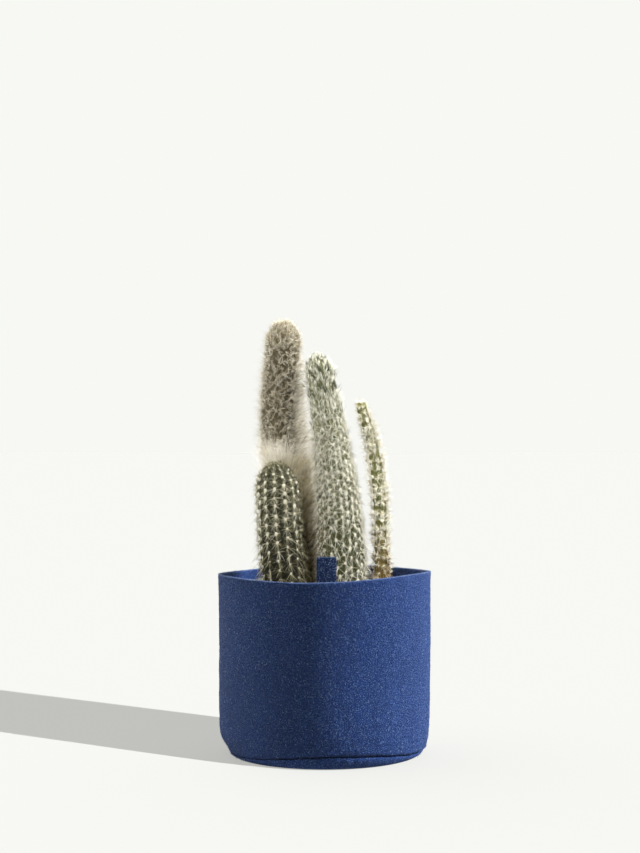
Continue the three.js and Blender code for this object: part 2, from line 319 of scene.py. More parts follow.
# ------------------------------------------------------------------ strands
def strands(name, P, D, L, R, tone, mat, B=None, segs=2, taper=0.7, seed=1, body="root"):
    """Tapered three-sided spines or hairs: roots P, directions D, lengths L, root radii R, in mm.
    B bends each strand away from its line, in mm at the tip."""
    rng = np.random.default_rng(seed)
    n = len(P)
    D = unit(D)
    B = np.zeros_like(P) if B is None else B
    s = np.linspace(0, 1, segs + 1)
    C = P[:, None] + D[:, None] * (L[:, None] * s)[..., None] + B[:, None] * (s**2)[None, :, None]
    ref = np.where(np.abs(D[:, 2:3]) < 0.9, np.array([[0, 0, 1.0]]), np.array([[1.0, 0, 0]]))
    a = unit(np.cross(D, ref))
    b = np.cross(D, a)
    ang = rng.uniform(0, TAU, n)[:, None] + np.arange(3)[None] * (TAU / 3)
    ring = a[:, None] * np.cos(ang)[..., None] + b[:, None] * np.sin(ang)[..., None]
    rad = R[:, None] * (1 - taper * s[:-1] ** 1.4)[None]
    body_v = C[:, :segs, None] + ring[:, None] * rad[..., None, None]
    V = np.concatenate([body_v.reshape(n, segs * 3, 3), C[:, segs:]], axis=1)
    per = segs * 3 + 1
    off = (np.arange(n) * per)[:, None, None]
    quads, tris = [], [[0, 2, 1]]
    for i in range(segs - 1):
        for k in range(3):
            k1 = (k + 1) % 3
            quads.append([i * 3 + k, i * 3 + k1, (i + 1) * 3 + k1, (i + 1) * 3 + k])
    for k in range(3):
        tris.append([(segs - 1) * 3 + k, (segs - 1) * 3 + (k + 1) % 3, segs * 3])
    half = 0.006
    u = np.clip(tone, 0.02, 0.98)
    vs = 0.02 + 0.96 * s

    def uv_of(corner):
        if corner == segs * 3:
            return 0.0, vs[segs]
        return (corner % 3 - 1) * half, vs[corner // 3]

    polys, uvs = [], []
    for group in (quads, tris):
        if not group:
            continue
        g = np.array(group, np.int32)[None] + off.astype(np.int32)
        polys.append(g.reshape(-1, g.shape[-1]))
        du = np.array([[uv_of(c) for c in f] for f in group])
        w = np.zeros((n, *du.shape))
        w[...] = du[None]
        w[..., 0] += u[:, None, None]
        uvs.append(w.reshape(-1, g.shape[-1], 2))
    ob = mesh_object(name, V.reshape(-1, 3), polys, uvs, mat=mat)
    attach(ob, body)
    return ob


# ------------------------------------------------------------------ felt pot
POT_RADIUS, POT_HEIGHT, FELT_T = 65.0, 110.0, 2.6
RIM_WAVE = [-0.36, 0.97, -0.46, 0.26, -0.15, -0.18, -0.73]
SEAM_Z, SEAM_RISE, SEAM_FRONT, SEAM_SPREAD = 3.0, 5.1, 6.0, 46.0
SIDE = np.array(
    [
        (0, 57.0), (0.8, 58.6), (1.6, 59.5), (3, 60.6), (5, 61.7), (7, 62.5), (10, 63.3),
        (14, 63.8), (19, 64.1), (26, 64.3), (62, 64.5), (96, 64.7), (POT_HEIGHT, POT_RADIUS), (200, POT_RADIUS),
    ]
)


def side(z, phi):
    r = np.interp(np.maximum(z, 0), SIDE[:, 0], SIDE[:, 1])
    left = np.maximum(0, -np.cos(phi)) ** 1.5
    return r - 2.2 * left * np.exp(-(((z - 4.5) / 5) ** 2))


def seam_rise(phi):
    a = np.degrees(phi) + 90 - SEAM_FRONT
    a = (a + 180) % 360 - 180
    low_left = 1.9 * np.exp(-(((a + 78) / 34) ** 2))
    return SEAM_RISE * np.exp(-((a / SEAM_SPREAD) ** 2)) - low_left


def rim_wave(phi):
    z = RIM_WAVE[0]
    for k in (1, 2, 3):
        z = z + RIM_WAVE[2 * k - 1] * np.cos(k * phi) + RIM_WAVE[2 * k] * np.sin(k * phi)
    return z


def felt_point(r, z0, phi):
    """A point of the plain round pot, moved to the real one."""
    rise = seam_rise(phi) * (1 - smooth(SEAM_Z, 30, z0)) * np.clip(z0 / SEAM_Z, 0, 1)
    z1 = z0 + rise
    r1 = r + side(z1, phi) - side(z0, 0)
    return r1, z1 + rim_wave(phi) * smooth(40, POT_HEIGHT, z0)


def at(z):
    return float(side(np.array(z), np.array(0.0)))


def profile_points(profile, step):
    """A profile of (r, z) corners, filled in so that no step is longer than step(z)."""
    out = [profile[0]]
    for (r0, z0), (r1, z1) in zip(profile, profile[1:]):
        n = max(1, math.ceil(math.hypot(r1 - r0, z1 - z0) / step(0.5 * (z0 + z1))))
        out += [(r0 + (r1 - r0) * k / n, z0 + (z1 - z0) * k / n) for k in range(1, n + 1)]
    return np.array(out)


def closed_lathe(name, profile, phis, place, mat, mark=None):
    """A surface of revolution over a profile that closes on itself; place(r, z, phi, k) gives the points."""
    n = len(profile)
    r, z = profile[:, 0][:, None], profile[:, 1][:, None]
    ph = phis[None, :]
    X, Y, Z = place(r + 0 * ph, z + 0 * ph, ph + 0 * r)
    V = rows_xyz(X, Y, Z)
    cols = len(phis)
    q = grid(n, cols)
    last = np.arange(cols)
    close = np.stack([(n - 1) * cols + last, (n - 1) * cols + (last + 1) % cols, (last + 1) % cols, last], -1)
    length = np.concatenate([[0], np.cumsum(np.hypot(*np.diff(profile, axis=0).T))])
    gap = math.hypot(*(profile[0] - profile[-1]))
    vs = length / (length[-1] + gap)
    us = np.concatenate([phis, [phis[0] + TAU]])
    us = (us - us[0]) / TAU
    uv1 = grid_uv(us, vs)
    uv2 = grid_uv(us, np.array([vs[-1], 1.0]))
    attrs = None if mark is None else {mark[0]: (mark[1](r, z) + 0 * ph).ravel()}
    return mesh_object(name, V.reshape(-1, 3), [np.concatenate([q, close])], [np.concatenate([uv1, uv2])], attrs=attrs, mat=mat)


def back_phis(base):
    """Angles round the pot, closer together at the seam at the back."""
    fine = math.pi / 2 + np.linspace(-2.6, 2.6, 27) / POT_RADIUS
    rest = np.linspace(math.pi / 2 + 2.6 / POT_RADIUS, math.pi / 2 + TAU - 2.6 / POT_RADIUS, base + 1)[1:-1]
    return np.concatenate([fine, rest])


def back_groove(phi, z):
    """Depth of the sewn groove where the strip's ends meet."""
    x = (phi - math.pi / 2) * POT_RADIUS
    x = x + 0.12 * np.sin(z * 0.5)
    g = 1.35 * np.clip(1 - np.abs(x) / 0.95, 0, 1) ** 0.8 - 0.22 * np.exp(-(((np.abs(x) - 1.5) / 0.6) ** 2))
    return g * smooth(6, 16, z)


wall_low = SEAM_Z + 0.15
wall_profile = [
    (at(wall_low) - 1.7, wall_low + 0.02),
    (at(wall_low) - 1.15, wall_low + 0.08),
    (at(3.5) - 0.6, 3.5),
    (at(4.1) - 0.2, 4.1),
    (at(4.8), 4.8),
    (at(5.5), 5.5), (at(8), 8), (at(12), 12), (at(18), 18), (at(27), 27), (at(62), 62), (at(96), 96),
    (at(108.8), 108.8),
    (at(109.5) - 0.12, 109.5),
    (at(109.9) - 0.42, 109.88),
    (at(110) - 0.8, 110.0),
    (at(110) - 1.8, 110.0),
    (at(110) - FELT_T + 0.42, 109.88),
    (at(110) - FELT_T + 0.12, 109.5),
    (at(108.8) - FELT_T, 108.8),
    (at(96) - FELT_T, 96), (at(62) - FELT_T, 62), (at(27) - FELT_T, 27), (at(18) - FELT_T, 18),
    (at(12) - FELT_T, 12), (at(8) - FELT_T, 8), (at(5.5) - FELT_T, 5.5), (at(wall_low) - FELT_T, wall_low),
]
fine_wall = profile_points(wall_profile, lambda z: 0.95 if z > 88 else 0.8 if z < 12 else 1.15)


def crease_wave(phi):
    """How the sewn crease wanders up and down, the same for both felts."""
    p = rows_xyz(62 * np.cos(phi), 62 * np.sin(phi), 0 * phi)
    return 0.34 * noise(p, 7.5, 8) + 0.20 * noise(p, 3.4, 9)


def place_wall(r, z, phi):
    outer = r > side(z, 0 * phi) - FELT_T * 0.5
    r1, z1 = felt_point(r, z, phi)
    p = rows_xyz(r1 * np.cos(phi), r1 * np.sin(phi), z1)
    lump = 0.16 * noise(p, 9.0, 1) + 0.12 * noise(p, 3.2, 2) + 0.09 * noise(p, 1.5, 3)
    broad = 0.30 * noise(p, 38.0, 4)
    sign = np.where(outer, 1.0, -1.0)
    rim = smooth(108.5, 109.9, z)
    r1 = r1 + sign * lump * (1 - 0.5 * rim) + broad * smooth(4, 14, z) * (1 - smooth(104, 110, z)) - np.where(outer, back_groove(phi, z), 0)
    z1 = z1 + rim * (0.14 * noise(p, 2.2, 5) + 0.08 * noise(p, 1.1, 6))
    # the crease over the base puckers a little between the stitches
    pucker = np.exp(-(((z - 4.4) / 1.6) ** 2)) * outer
    r1 = r1 + 0.16 * pucker * np.sin(phi * 118) + 0.12 * pucker * noise(p, 5.0, 7) + 0.5 * pucker * np.clip(np.cos(phi + 0.15), 0, 1) ** 3
    z1 = z1 + np.exp(-(((z - 3.1) / 2.6) ** 2)) * crease_wave(phi)
    return r1 * np.cos(phi), r1 * np.sin(phi), z1


felt_wall = closed_lathe("felt_pot_wall", fine_wall, back_phis(420), place_wall, felt_mat, ("cut_edge_and_highlight", lambda r, z: 0.85 * smooth(109.6, 109.95, z)))
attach(felt_wall, "root")
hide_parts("felt_wall")
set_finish(felt_wall, "felt")

def axis_lathe(name, profile, low, high, phis, place, mat, attrs=None):
    """A surface of revolution whose profile runs from the axis at height low to the axis at height high."""
    n, cols = len(profile), len(phis)
    r, z = profile[:, 0][:, None], profile[:, 1][:, None]
    X, Y, Z = place(r + 0 * phis, z + 0 * phis, phis[None] + 0 * r)
    V = np.concatenate([rows_xyz(X, Y, Z).reshape(-1, 3), [[0, 0, low]], [[0, 0, high]]])
    a, b = n * cols, n * cols + 1
    c = np.arange(cols)
    c1 = (c + 1) % cols
    fan0 = np.stack([np.full(cols, a), c1, c], -1)
    fan1 = np.stack([np.full(cols, b), (n - 1) * cols + c, (n - 1) * cols + c1], -1)
    us = np.concatenate([phis, [phis[0] + TAU]])
    us = (us - us[0]) / TAU
    length = np.concatenate([[0], np.cumsum(np.hypot(*np.diff(profile, axis=0).T))])
    vs = 0.08 + 0.84 * length / length[-1]
    um = (us[:-1] + us[1:]) / 2
    one = 0 * um
    uv0 = np.stack([np.stack([um, one], -1), np.stack([us[1:], one + vs[0]], -1), np.stack([us[:-1], one + vs[0]], -1)], 1)
    uv1 = np.stack([np.stack([um, one + 1], -1), np.stack([us[:-1], one + vs[-1]], -1), np.stack([us[1:], one + vs[-1]], -1)], 1)
    return mesh_object(name, V, [grid(n, cols), np.concatenate([fan0, fan1])], [grid_uv(us, vs), np.concatenate([uv0, uv1])], attrs=attrs, mat=mat)


def tubes(name, paths, radius, sides, mat, u=0.5):
    """Round threads along paths (m, k, 3), each closed at its ends."""
    paths = np.asarray(paths, float)
    m, k, _ = paths.shape
    T = unit(np.gradient(paths, axis=1))
    ref = np.where(np.abs(T[..., 2:3]) < 0.8, np.array([0, 0, 1.0]), np.array([1.0, 0, 0]))
    a = unit(np.cross(T, ref))
    b = np.cross(T, a)
    ang = np.arange(sides) * TAU / sides
    rad = np.full(k, radius)
    rad[[0, -1]] *= 0.6
    ring = a[:, :, None] * np.cos(ang)[None, None, :, None] + b[:, :, None] * np.sin(ang)[None, None, :, None]
    body_v = (paths[:, :, None] + ring * rad[None, :, None, None]).reshape(m, k * sides, 3)
    V = np.concatenate([body_v, paths[:, :1], paths[:, -1:]], axis=1)
    per = k * sides + 2
    off = (np.arange(m) * per)[:, None, None]
    q = grid(k, sides)
    us = np.linspace(0.02, 0.98, sides + 1)
    vs = np.linspace(0.04, 0.96, k)
    c = np.arange(sides)
    f0 = np.stack([np.full(sides, k * sides), (c + 1) % sides, c], -1)
    f1 = np.stack([np.full(sides, k * sides + 1), (k - 1) * sides + c, (k - 1) * sides + (c + 1) % sides], -1)
    uq = grid_uv(us, vs)
    um = (us[:-1] + us[1:]) / 2
    u0 = np.stack([np.stack([um, 0 * um], -1), np.stack([us[1:], 0 * um + vs[0]], -1), np.stack([us[:-1], 0 * um + vs[0]], -1)], 1)
    u1 = np.stack([np.stack([um, 0 * um + 1], -1), np.stack([us[:-1], 0 * um + vs[-1]], -1), np.stack([us[1:], 0 * um + vs[-1]], -1)], 1)
    ft = np.concatenate([f0, f1])
    ut = np.concatenate([u0, u1])
    return mesh_object(
        name, V.reshape(-1, 3),
        [(q[None] + off).reshape(-1, 4), (ft[None] + off).reshape(-1, 3)],
        [np.broadcast_to(uq[None], (m, *uq.shape)).reshape(-1, 4, 2), np.broadcast_to(ut[None], (m, *ut.shape)).reshape(-1, 3, 2)],
        mat=mat,
    )


# ------------------------------------------------------------------ felt base
base_top = SEAM_Z - 0.15
base_profile = [
    (30, 0.0), (at(0) - 1.2, 0.0), (at(0.15) - 0.3, 0.12), (at(0.8), 0.8), (at(1.5), 1.5), (at(2.2), 2.2),
    (at(2.6) - 0.26, 2.6), (at(base_top) - 0.75, base_top - 0.03), (at(base_top) - 1.7, base_top - 0.12), (at(base_top) - FELT_T, base_top),
    (51.0, FELT_T), (30, FELT_T),
]


def place_base(r, z, phi):
    r1, z1 = felt_point(r, z, phi)
    keep = r < 52.5
    r1, z1 = np.where(keep, r, r1), np.where(keep, z, z1)
    p = rows_xyz(r1 * np.cos(phi), r1 * np.sin(phi), z1)
    shown = smooth(0.02, 0.7, z1) * (1 - keep)
    r1 = r1 + shown * (0.16 * noise(p, 4.0, 12) + 0.10 * noise(p, 1.6, 13)) + 0.12 * shown * np.sin(phi * 59 + 1.2 * noise(p, 30, 14))
    z1 = z1 + smooth(0.8, 2.7, z) * (1 - keep) * crease_wave(phi)
    return r1 * np.cos(phi), r1 * np.sin(phi), z1


bp = profile_points(base_profile, lambda z: 1.0)
felt_base = axis_lathe("felt_pot_base", bp, 0.0, FELT_T, np.linspace(0, TAU, 481)[:-1], place_base, felt_base_mat)
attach(felt_base, "root")
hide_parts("felt_base")
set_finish(felt_base, "felt")

# ------------------------------------------------------------------ felt tab
TAB_X, TAB_W, TAB_T, TAB_LOW, TAB_TOP, TAB_Y = 1.0, 11.4, 2.3, 82.0, 123.6, -60.44


def rounded_rect(w, t, r, n):
    """Points round a rectangle w x t with corners of radius r, n along each edge, anticlockwise."""
    pts = []
    corners = [(w / 2 - r, -t / 2 + r, -90), (w / 2 - r, t / 2 - r, 0), (-w / 2 + r, t / 2 - r, 90), (-w / 2 + r, -t / 2 + r, 180)]
    for i, (cx, cy, a0) in enumerate(corners):
        for k in range(5):
            a = math.radians(a0 + 22.5 * k)
            pts.append((cx + r * math.cos(a), cy + r * math.sin(a)))
        nx, ny, na = corners[(i + 1) % 4]
        a = math.radians(a0 + 90)
        p0 = (cx + r * math.cos(a), cy + r * math.sin(a))
        a = math.radians(na)
        p1 = (nx + r * math.cos(a), ny + r * math.sin(a))
        m = n if i % 2 else max(2, n // 5)
        for k in range(1, m):
            pts.append((p0[0] + (p1[0] - p0[0]) * k / m, p0[1] + (p1[1] - p0[1]) * k / m))
    return np.array(pts)


sec = rounded_rect(TAB_W, TAB_T, 0.55, 18)
lev = np.concatenate([np.linspace(TAB_LOW, TAB_TOP - 0.9, 60), [TAB_TOP - 0.55, TAB_TOP - 0.28, TAB_TOP - 0.1, TAB_TOP - 0.02, TAB_TOP]])
inset_x = np.interp(lev, [TAB_TOP - 0.9, TAB_TOP - 0.55, TAB_TOP - 0.28, TAB_TOP - 0.1, TAB_TOP - 0.02, TAB_TOP], [0, 0.08, 0.25, 0.5, 0.75, 1.3])
inset_y = np.interp(lev, [TAB_TOP - 0.9, TAB_TOP - 0.55, TAB_TOP - 0.28, TAB_TOP - 0.1, TAB_TOP - 0.02, TAB_TOP], [0, 0.05, 0.16, 0.34, 0.5, 0.8])
tx = sec[None, :, 0] * (1 - inset_x / (TAB_W / 2))[:, None]
ty = sec[None, :, 1] * (1 - inset_y / (TAB_T / 2))[:, None]
tz = lev[:, None] + 0 * tx
tp = rows_xyz(TAB_X + tx, TAB_Y + ty, tz)
face = np.where(np.abs(ty) > TAB_T / 2 - 0.3, np.sign(ty), 0) * smooth(TAB_LOW, TAB_LOW + 5, tz)
tp[..., 1] += face * (0.10 * noise(tp, 3.0, 31) + 0.06 * noise(tp, 1.3, 32)) + 0.25 * noise(tp, 16.0, 33) * smooth(108, 124, tz)
tp[..., 0] += 0.10 * noise(tp, 2.6, 34) * (np.abs(tx) > TAB_W / 2 - 0.4)
tp[..., 2] += smooth(TAB_TOP - 0.6, TAB_TOP, tz) * (0.16 * noise(tp, 2.4, 35) + 0.08 * noise(tp, 1.0, 36))
rows, cols = tz.shape
TV = np.concatenate([tp.reshape(-1, 3), [[TAB_X, TAB_Y, TAB_LOW], [TAB_X, TAB_Y + float(tp[-1, :, 1].mean() - TAB_Y), float(tp[-1, :, 2].mean())]]])
c = np.arange(cols)
c1 = (c + 1) % cols
tf = np.concatenate([np.stack([np.full(cols, rows * cols), c1, c], -1), np.stack([np.full(cols, rows * cols + 1), (rows - 1) * cols + c, (rows - 1) * cols + c1], -1)])
us = np.linspace(0, 1, cols + 1)
vs = 0.05 + 0.9 * (lev - TAB_LOW) / (TAB_TOP - TAB_LOW) * 0.97
um = (us[:-1] + us[1:]) / 2
tu = np.concatenate([
    np.stack([np.stack([um, 0 * um], -1), np.stack([us[1:], 0 * um + vs[0]], -1), np.stack([us[:-1], 0 * um + vs[0]], -1)], 1),
    np.stack([np.stack([um, 0 * um + 1], -1), np.stack([us[:-1], 0 * um + vs[-1]], -1), np.stack([us[1:], 0 * um + vs[-1]], -1)], 1),
])
cut_edge_and_highlight = np.concatenate([(0.45 * smooth(TAB_TOP - 0.5, TAB_TOP, tz)).ravel(), [0, 0.45]])
tab = mesh_object("felt_pot_tab", TV, [grid(rows, cols), tf], [grid_uv(us, vs), tu], attrs={"cut_edge_and_highlight": cut_edge_and_highlight}, mat=felt_tab_mat)
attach(tab, "root")
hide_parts("felt_tab")
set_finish(tab, "felt")

# ------------------------------------------------------------------ loose fibres on the felt
fuzz_mat = strand_material(
    "felt_fibres", [(0.0, lin(18, 38, 92)), (0.5, lin(36, 66, 138)), (0.78, lin(92, 128, 196)), (1.0, lin(190, 212, 246))], rough=0.7, root=0.75
)


def fuzz(name, P, N, length, lift, radius, tones, seed, along=None, segs=3):
    """Fibres that leave the felt at P and lie down over it again."""
    rng = np.random.default_rng(seed)
    n = len(P)
    T = unit(np.cross(N, rng.normal(0, 1, (n, 3))))
    el = np.radians(rng.uniform(lift[0], lift[1], n))[:, None]
    L = rng.uniform(length[0], length[1], n)
    D = T * np.cos(el) + N * np.sin(el)
    if along is not None:
        D = unit(D + along)
    side_way = np.cross(N, D)
    B = -N * (L * np.sin(el[:, 0]) * rng.uniform(0.5, 1.15, n))[:, None] + side_way * (L * rng.normal(0, 0.22, n))[:, None]
    tone = np.clip(rng.normal(tones[0], tones[1], n), 0, 1)
    ob = strands(name, P - N * 0.06, D, L, radius * rng.uniform(0.7, 1.2, n), tone, fuzz_mat, B, segs=segs, seed=seed)
    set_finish(ob, "felt")
    return ob


rng = np.random.default_rng(71)


def wall_points(count, z0, z1, inside=False):
    phi = rng.uniform(0, TAU, count)
    z = rng.uniform(z0, z1, count)
    r = side(z, 0 * phi) - (FELT_T if inside else 0)
    X, Y, Z = place_wall(r, z, phi)
    P = rows_xyz(X, Y, Z)
    N = rows_xyz(np.cos(phi), np.sin(phi), 0 * phi) * (-1 if inside else 1)
    return P, N


P, N = wall_points(19500, 4.2, 109.2)
fuzz("felt_fibres_wall", P, N, (0.6, 2.1), (6, 30), 0.062, (0.60, 0.27), 72, segs=2)
P, N = wall_points(2200, 96.0, 109.3, inside=True)
fuzz("felt_fibres_inside", P, N, (0.8, 2.2), (8, 40), 0.04, (0.5, 0.2), 73)
count = 3600
phi = rng.uniform(0, TAU, count)
rr = at(110) - rng.uniform(0.15, FELT_T - 0.15, count)
X, Y, Z = place_wall(rr, np.full(count, 110.0), phi)
N = unit(rows_xyz(np.cos(phi) * (rr - at(110) + 1.3) * 0.5, np.sin(phi) * (rr - at(110) + 1.3) * 0.5, 1 + 0 * phi))
fuzz("felt_fibres_rim", rows_xyz(X, Y, Z), N, (0.35, 1.0), (15, 70), 0.04, (0.62, 0.18), 74)
count = 1500
phi = rng.uniform(0, TAU, count)
zz = rng.uniform(0.5, 2.5, count)
X, Y, Z = place_base(side(zz, 0 * phi), zz, phi)
fuzz("felt_fibres_base", rows_xyz(X, Y, Z), rows_xyz(np.cos(phi), np.sin(phi), 0 * phi - 0.2), (0.6, 1.8), (6, 35), 0.04, (0.5, 0.2), 75)
count = 160
k = rng.integers(20, rows - 1, count)
j = rng.integers(0, cols, count)
tn = unit(rows_xyz(np.where(np.abs(sec[j, 1]) > TAB_T / 2 - 0.1, 0, np.sign(sec[j, 0])), np.where(np.abs(sec[j, 1]) > TAB_T / 2 - 0.1, np.sign(sec[j, 1]), 0), 0 * j + 0.02))
fuzz("felt_fibres_tab", tp[k, j] + rng.normal(0, 0.25, (count, 3)) * (1 - np.abs(tn)), tn, (0.3, 0.7), (6, 40), 0.05, (0.45, 0.25), 76, segs=2)

# ------------------------------------------------------------------ stitches
thread = Mat("thread_navy", Specular_IOR_Level=0.3)
u, v = thread.uv()
ply = thread.math("SINE", thread.math("ADD", thread.math("MULTIPLY", v, 60.0), thread.math("MULTIPLY", u, 6.2832)))
ply = thread.math("ADD", thread.math("MULTIPLY", ply, 0.5), 0.5)
thread.base(thread.ramp(ply, [(0.0, lin(18, 26, 52)), (1.0, lin(44, 60, 104))]))
thread.rough(thread.grey(ply, [(0.0, 0.8), (1.0, 0.6)]))
thread.bump(ply, 0.5, 0.0001)


def on_wall(dx, z, h):
    """A point dx mm to the right of the back seam, h mm proud of the felt."""
    phi = math.pi / 2 - dx / POT_RADIUS
    r1, z1 = felt_point(side(z, 0 * phi), z, phi)
    r1 = r1 + h
    return rows_xyz(r1 * np.cos(phi), r1 * np.sin(phi), z1)


t = np.linspace(0, 1, 13)
over = np.interp(t, [0, 0.1, 0.22, 0.5, 0.78, 0.9, 1], [-0.75, -0.1, 0.26, 0.16, 0.26, -0.1, -0.75])
paths = []
for k, z in enumerate(np.arange(15.5, 106.5, 3.3)):
    paths.append(on_wall(-1.95 + 3.9 * t, z + 2.3 * t, over))
    paths.append(on_wall(1.95 - 3.9 * t, z + 2.3 * t, over + 0.42 * np.clip(np.sin(math.pi * t), 0, 1) ** 2))
side_thread = tubes("side_seam_stitches", paths, 0.27, 8, thread.m)
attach(side_thread, "root")
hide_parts("side_seam_thread")
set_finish(side_thread, "thread")
paths = []
for k in range(92):
    phi = TAU * (k + 0.62 * (t - 0.5)) / 92
    r1, z1 = felt_point(side(np.full(13, SEAM_Z), 0 * phi), np.full(13, SEAM_Z), phi)
    r1 = r1 - np.interp(t, [0, 0.15, 0.5, 0.85, 1], [1.5, 0.85, 0.72, 0.85, 1.5])
    paths.append(rows_xyz(r1 * np.cos(phi), r1 * np.sin(phi), z1))
base_thread = tubes("base_seam_stitches", paths, 0.22, 8, thread.m)
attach(base_thread, "root")
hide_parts("base_seam_thread")
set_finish(base_thread, "thread")

# ------------------------------------------------------------------ nursery pot
plastic = Mat("nursery_black", Specular_IOR_Level=0.45)
co = plastic.coords()
haze = plastic.noise(co, 90, 4, 0.6)
grain = plastic.noise(plastic.scaled(co, 1, 1, 0.15), 2400, 2, 0.6)
plastic.base(plastic.ramp(haze, [(0.35, lin(20, 20, 21)), (0.7, lin(38, 36, 34))]))
plastic.rough(plastic.grey(haze, [(0.3, 0.38), (0.7, 0.62)]))
plastic.bump(grain, 0.15, 0.0002)
STAND = FELT_T + 0.3
pot_profile = np.array([
    (12.0, STAND + 2.2), (40.9, STAND + 2.2), (41.4, STAND + 1.6), (41.9, STAND + 0.15), (42.3, STAND), (43.1, STAND), (43.5, STAND + 0.25),
    (46.2, 24.0), (49.9, 52.0), (53.4, 80.0), (55.5, 96.0), (55.9, 96.6), (57.5, 97.3), (58.0, 97.9), (58.0, 102.1), (57.85, 102.45), (57.5, 102.6),
    (57.15, 102.45), (57.0, 102.1), (57.0, 98.6), (56.7, 98.25), (54.9, 97.3), (54.5, 96.7), (42.9, 7.0), (42.2, STAND + 3.2), (12.0, STAND + 3.2),
])
pot_fine = profile_points([tuple(p) for p in pot_profile[1:-1]], lambda z: 6.0)
HOLE_AT = [(32 * math.cos(i / 6 * TAU + 0.26), 32 * math.sin(i / 6 * TAU + 0.26)) for i in range(6)]
HOLE_R, HOLE_N, POT_COLS = 4.0, 32, 180


def holed_disc(radius):
    """Triangles, seen from above anticlockwise, over a disc with the six drain holes left open. The points
    are the disc's rim and then each hole's rim."""
    a, b = np.arange(POT_COLS) * TAU / POT_COLS, np.arange(HOLE_N) * TAU / HOLE_N
    pts = [radius * np.stack([np.cos(a), np.sin(a)], -1)] + [np.array(h) + HOLE_R * np.stack([np.cos(b), np.sin(b)], -1) for h in HOLE_AT]
    edges, k = [], 0
    for p in pts:
        edges += [(k + i, k + (i + 1) % len(p)) for i in range(len(p))]
        k += len(p)
    pts = np.concatenate(pts)
    got = delaunay_2d_cdt([Vector(p) for p in pts.tolist()], edges, [], 1, 1e-5)
    index = [int(np.argmin(np.hypot(*(pts - np.array(v[:2])).T))) for v in got[0]]
    tris = np.array([[index[i] for i in f] for f in got[2]])
    c = pts[tris].mean(1)
    tris = tris[np.all([np.hypot(c[:, 0] - hx, c[:, 1] - hy) > HOLE_R for hx, hy in HOLE_AT], axis=0)]
    p0, p1, p2 = (pts[tris[:, i]] for i in range(3))
    turn = (p1[:, 0] - p0[:, 0]) * (p2[:, 1] - p0[:, 1]) - (p1[:, 1] - p0[:, 1]) * (p2[:, 0] - p0[:, 0])
    tris[turn < 0] = tris[turn < 0][:, ::-1]
    return pts, tris[np.abs(turn) > 1e-9]


rows_n = len(pot_fine)
pot_phi = np.arange(POT_COLS) * TAU / POT_COLS
lathe_v = rows_xyz(pot_fine[:, :1] * np.cos(pot_phi), pot_fine[:, :1] * np.sin(pot_phi), pot_fine[:, 1:] + 0 * pot_phi).reshape(-1, 3)
under_p, under_t = holed_disc(pot_fine[0, 0])
floor_p, floor_t = holed_disc(pot_fine[-1, 0])
rim_count = HOLE_N * len(HOLE_AT)
under_v = rows_xyz(under_p[POT_COLS:, 0], under_p[POT_COLS:, 1], pot_fine[0, 1])
floor_v = rows_xyz(floor_p[POT_COLS:, 0], floor_p[POT_COLS:, 1], pot_fine[-1, 1])
first_under, first_floor = len(lathe_v), len(lathe_v) + rim_count
under_f = np.where(under_t < POT_COLS, under_t, under_t - POT_COLS + first_under)[:, ::-1]
floor_f = np.where(floor_t < POT_COLS, floor_t + (rows_n - 1) * POT_COLS, floor_t - POT_COLS + first_floor)
under_uv = (np.array([0.20, 0.80]) + under_p[under_t] / pot_fine[0, 0] * 0.18)[:, ::-1]
floor_uv = np.array([0.60, 0.80]) + floor_p[floor_t] / pot_fine[-1, 0] * 0.18
ring = np.arange(rim_count)
after = ring // HOLE_N * HOLE_N + (ring + 1) % HOLE_N
hole_f = np.stack([after + first_under, ring + first_under, ring + first_floor, after + first_floor], -1)
hu, hv = 0.82 + 0.16 * (ring % HOLE_N) / HOLE_N, 0.62 + 0.06 * (ring // HOLE_N)
hole_uv = np.stack([np.stack([hu + 0.005, hv], -1), np.stack([hu, hv], -1), np.stack([hu, hv + 0.05], -1), np.stack([hu + 0.005, hv + 0.05], -1)], 1)
pot_run = np.concatenate([[0], np.cumsum(np.hypot(*np.diff(pot_fine, axis=0).T))])
nursery = mesh_object(
    "nursery_pot_black", np.concatenate([lathe_v, under_v, floor_v]),
    [np.concatenate([grid(rows_n, POT_COLS), hole_f]), np.concatenate([under_f, floor_f])],
    [np.concatenate([grid_uv(np.linspace(0, 1, POT_COLS + 1), 0.01 + 0.58 * pot_run / pot_run[-1]), hole_uv]), np.concatenate([under_uv, floor_uv])],
    mat=plastic.m,
)
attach(nursery, "root")
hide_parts("nursery_pot")
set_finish(nursery, "nursery_plastic")

_ball = bmesh.new()
bmesh.ops.create_icosphere(_ball, subdivisions=2, radius=1.0)
BALL2_V = np.array([v.co[:] for v in _ball.verts])
BALL2_F = np.array([[v.index for v in f.verts] for f in _ball.faces])
_ball.free()

# ------------------------------------------------------------------ potting mix
mix_mat = Mat("potting_mix", Specular_IOR_Level=0.2)
co = mix_mat.coords()
big = mix_mat.noise(co, 260, 4, 0.7)
small = mix_mat.noise(co, 1100, 3, 0.7)
mix_mat.base(mix_mat.ramp(mix_mat.math("ADD", mix_mat.math("MULTIPLY", big, 0.6), mix_mat.math("MULTIPLY", small, 0.4)), [(0.34, lin(20, 14, 9)), (0.5, lin(48, 34, 22)), (0.66, lin(92, 66, 42))]))
mix_mat.rough(mix_mat.grey(big, [(0.3, 1.0), (0.7, 0.85)]))
mix_mat.bump(small, 0.9, 0.0012)


def soil_height(x, y):
    p = rows_xyz(x, y, 0 * x)
    wave = 0.55 * np.sin(0.31 * x + 1.3) * np.cos(0.27 * y - 0.6) + 0.35 * np.sin(0.55 * y + 0.2 * x)
    return wave + 0.45 * noise(p, 4.5, 51) + 0.35 * noise(p, 2.0, 52)


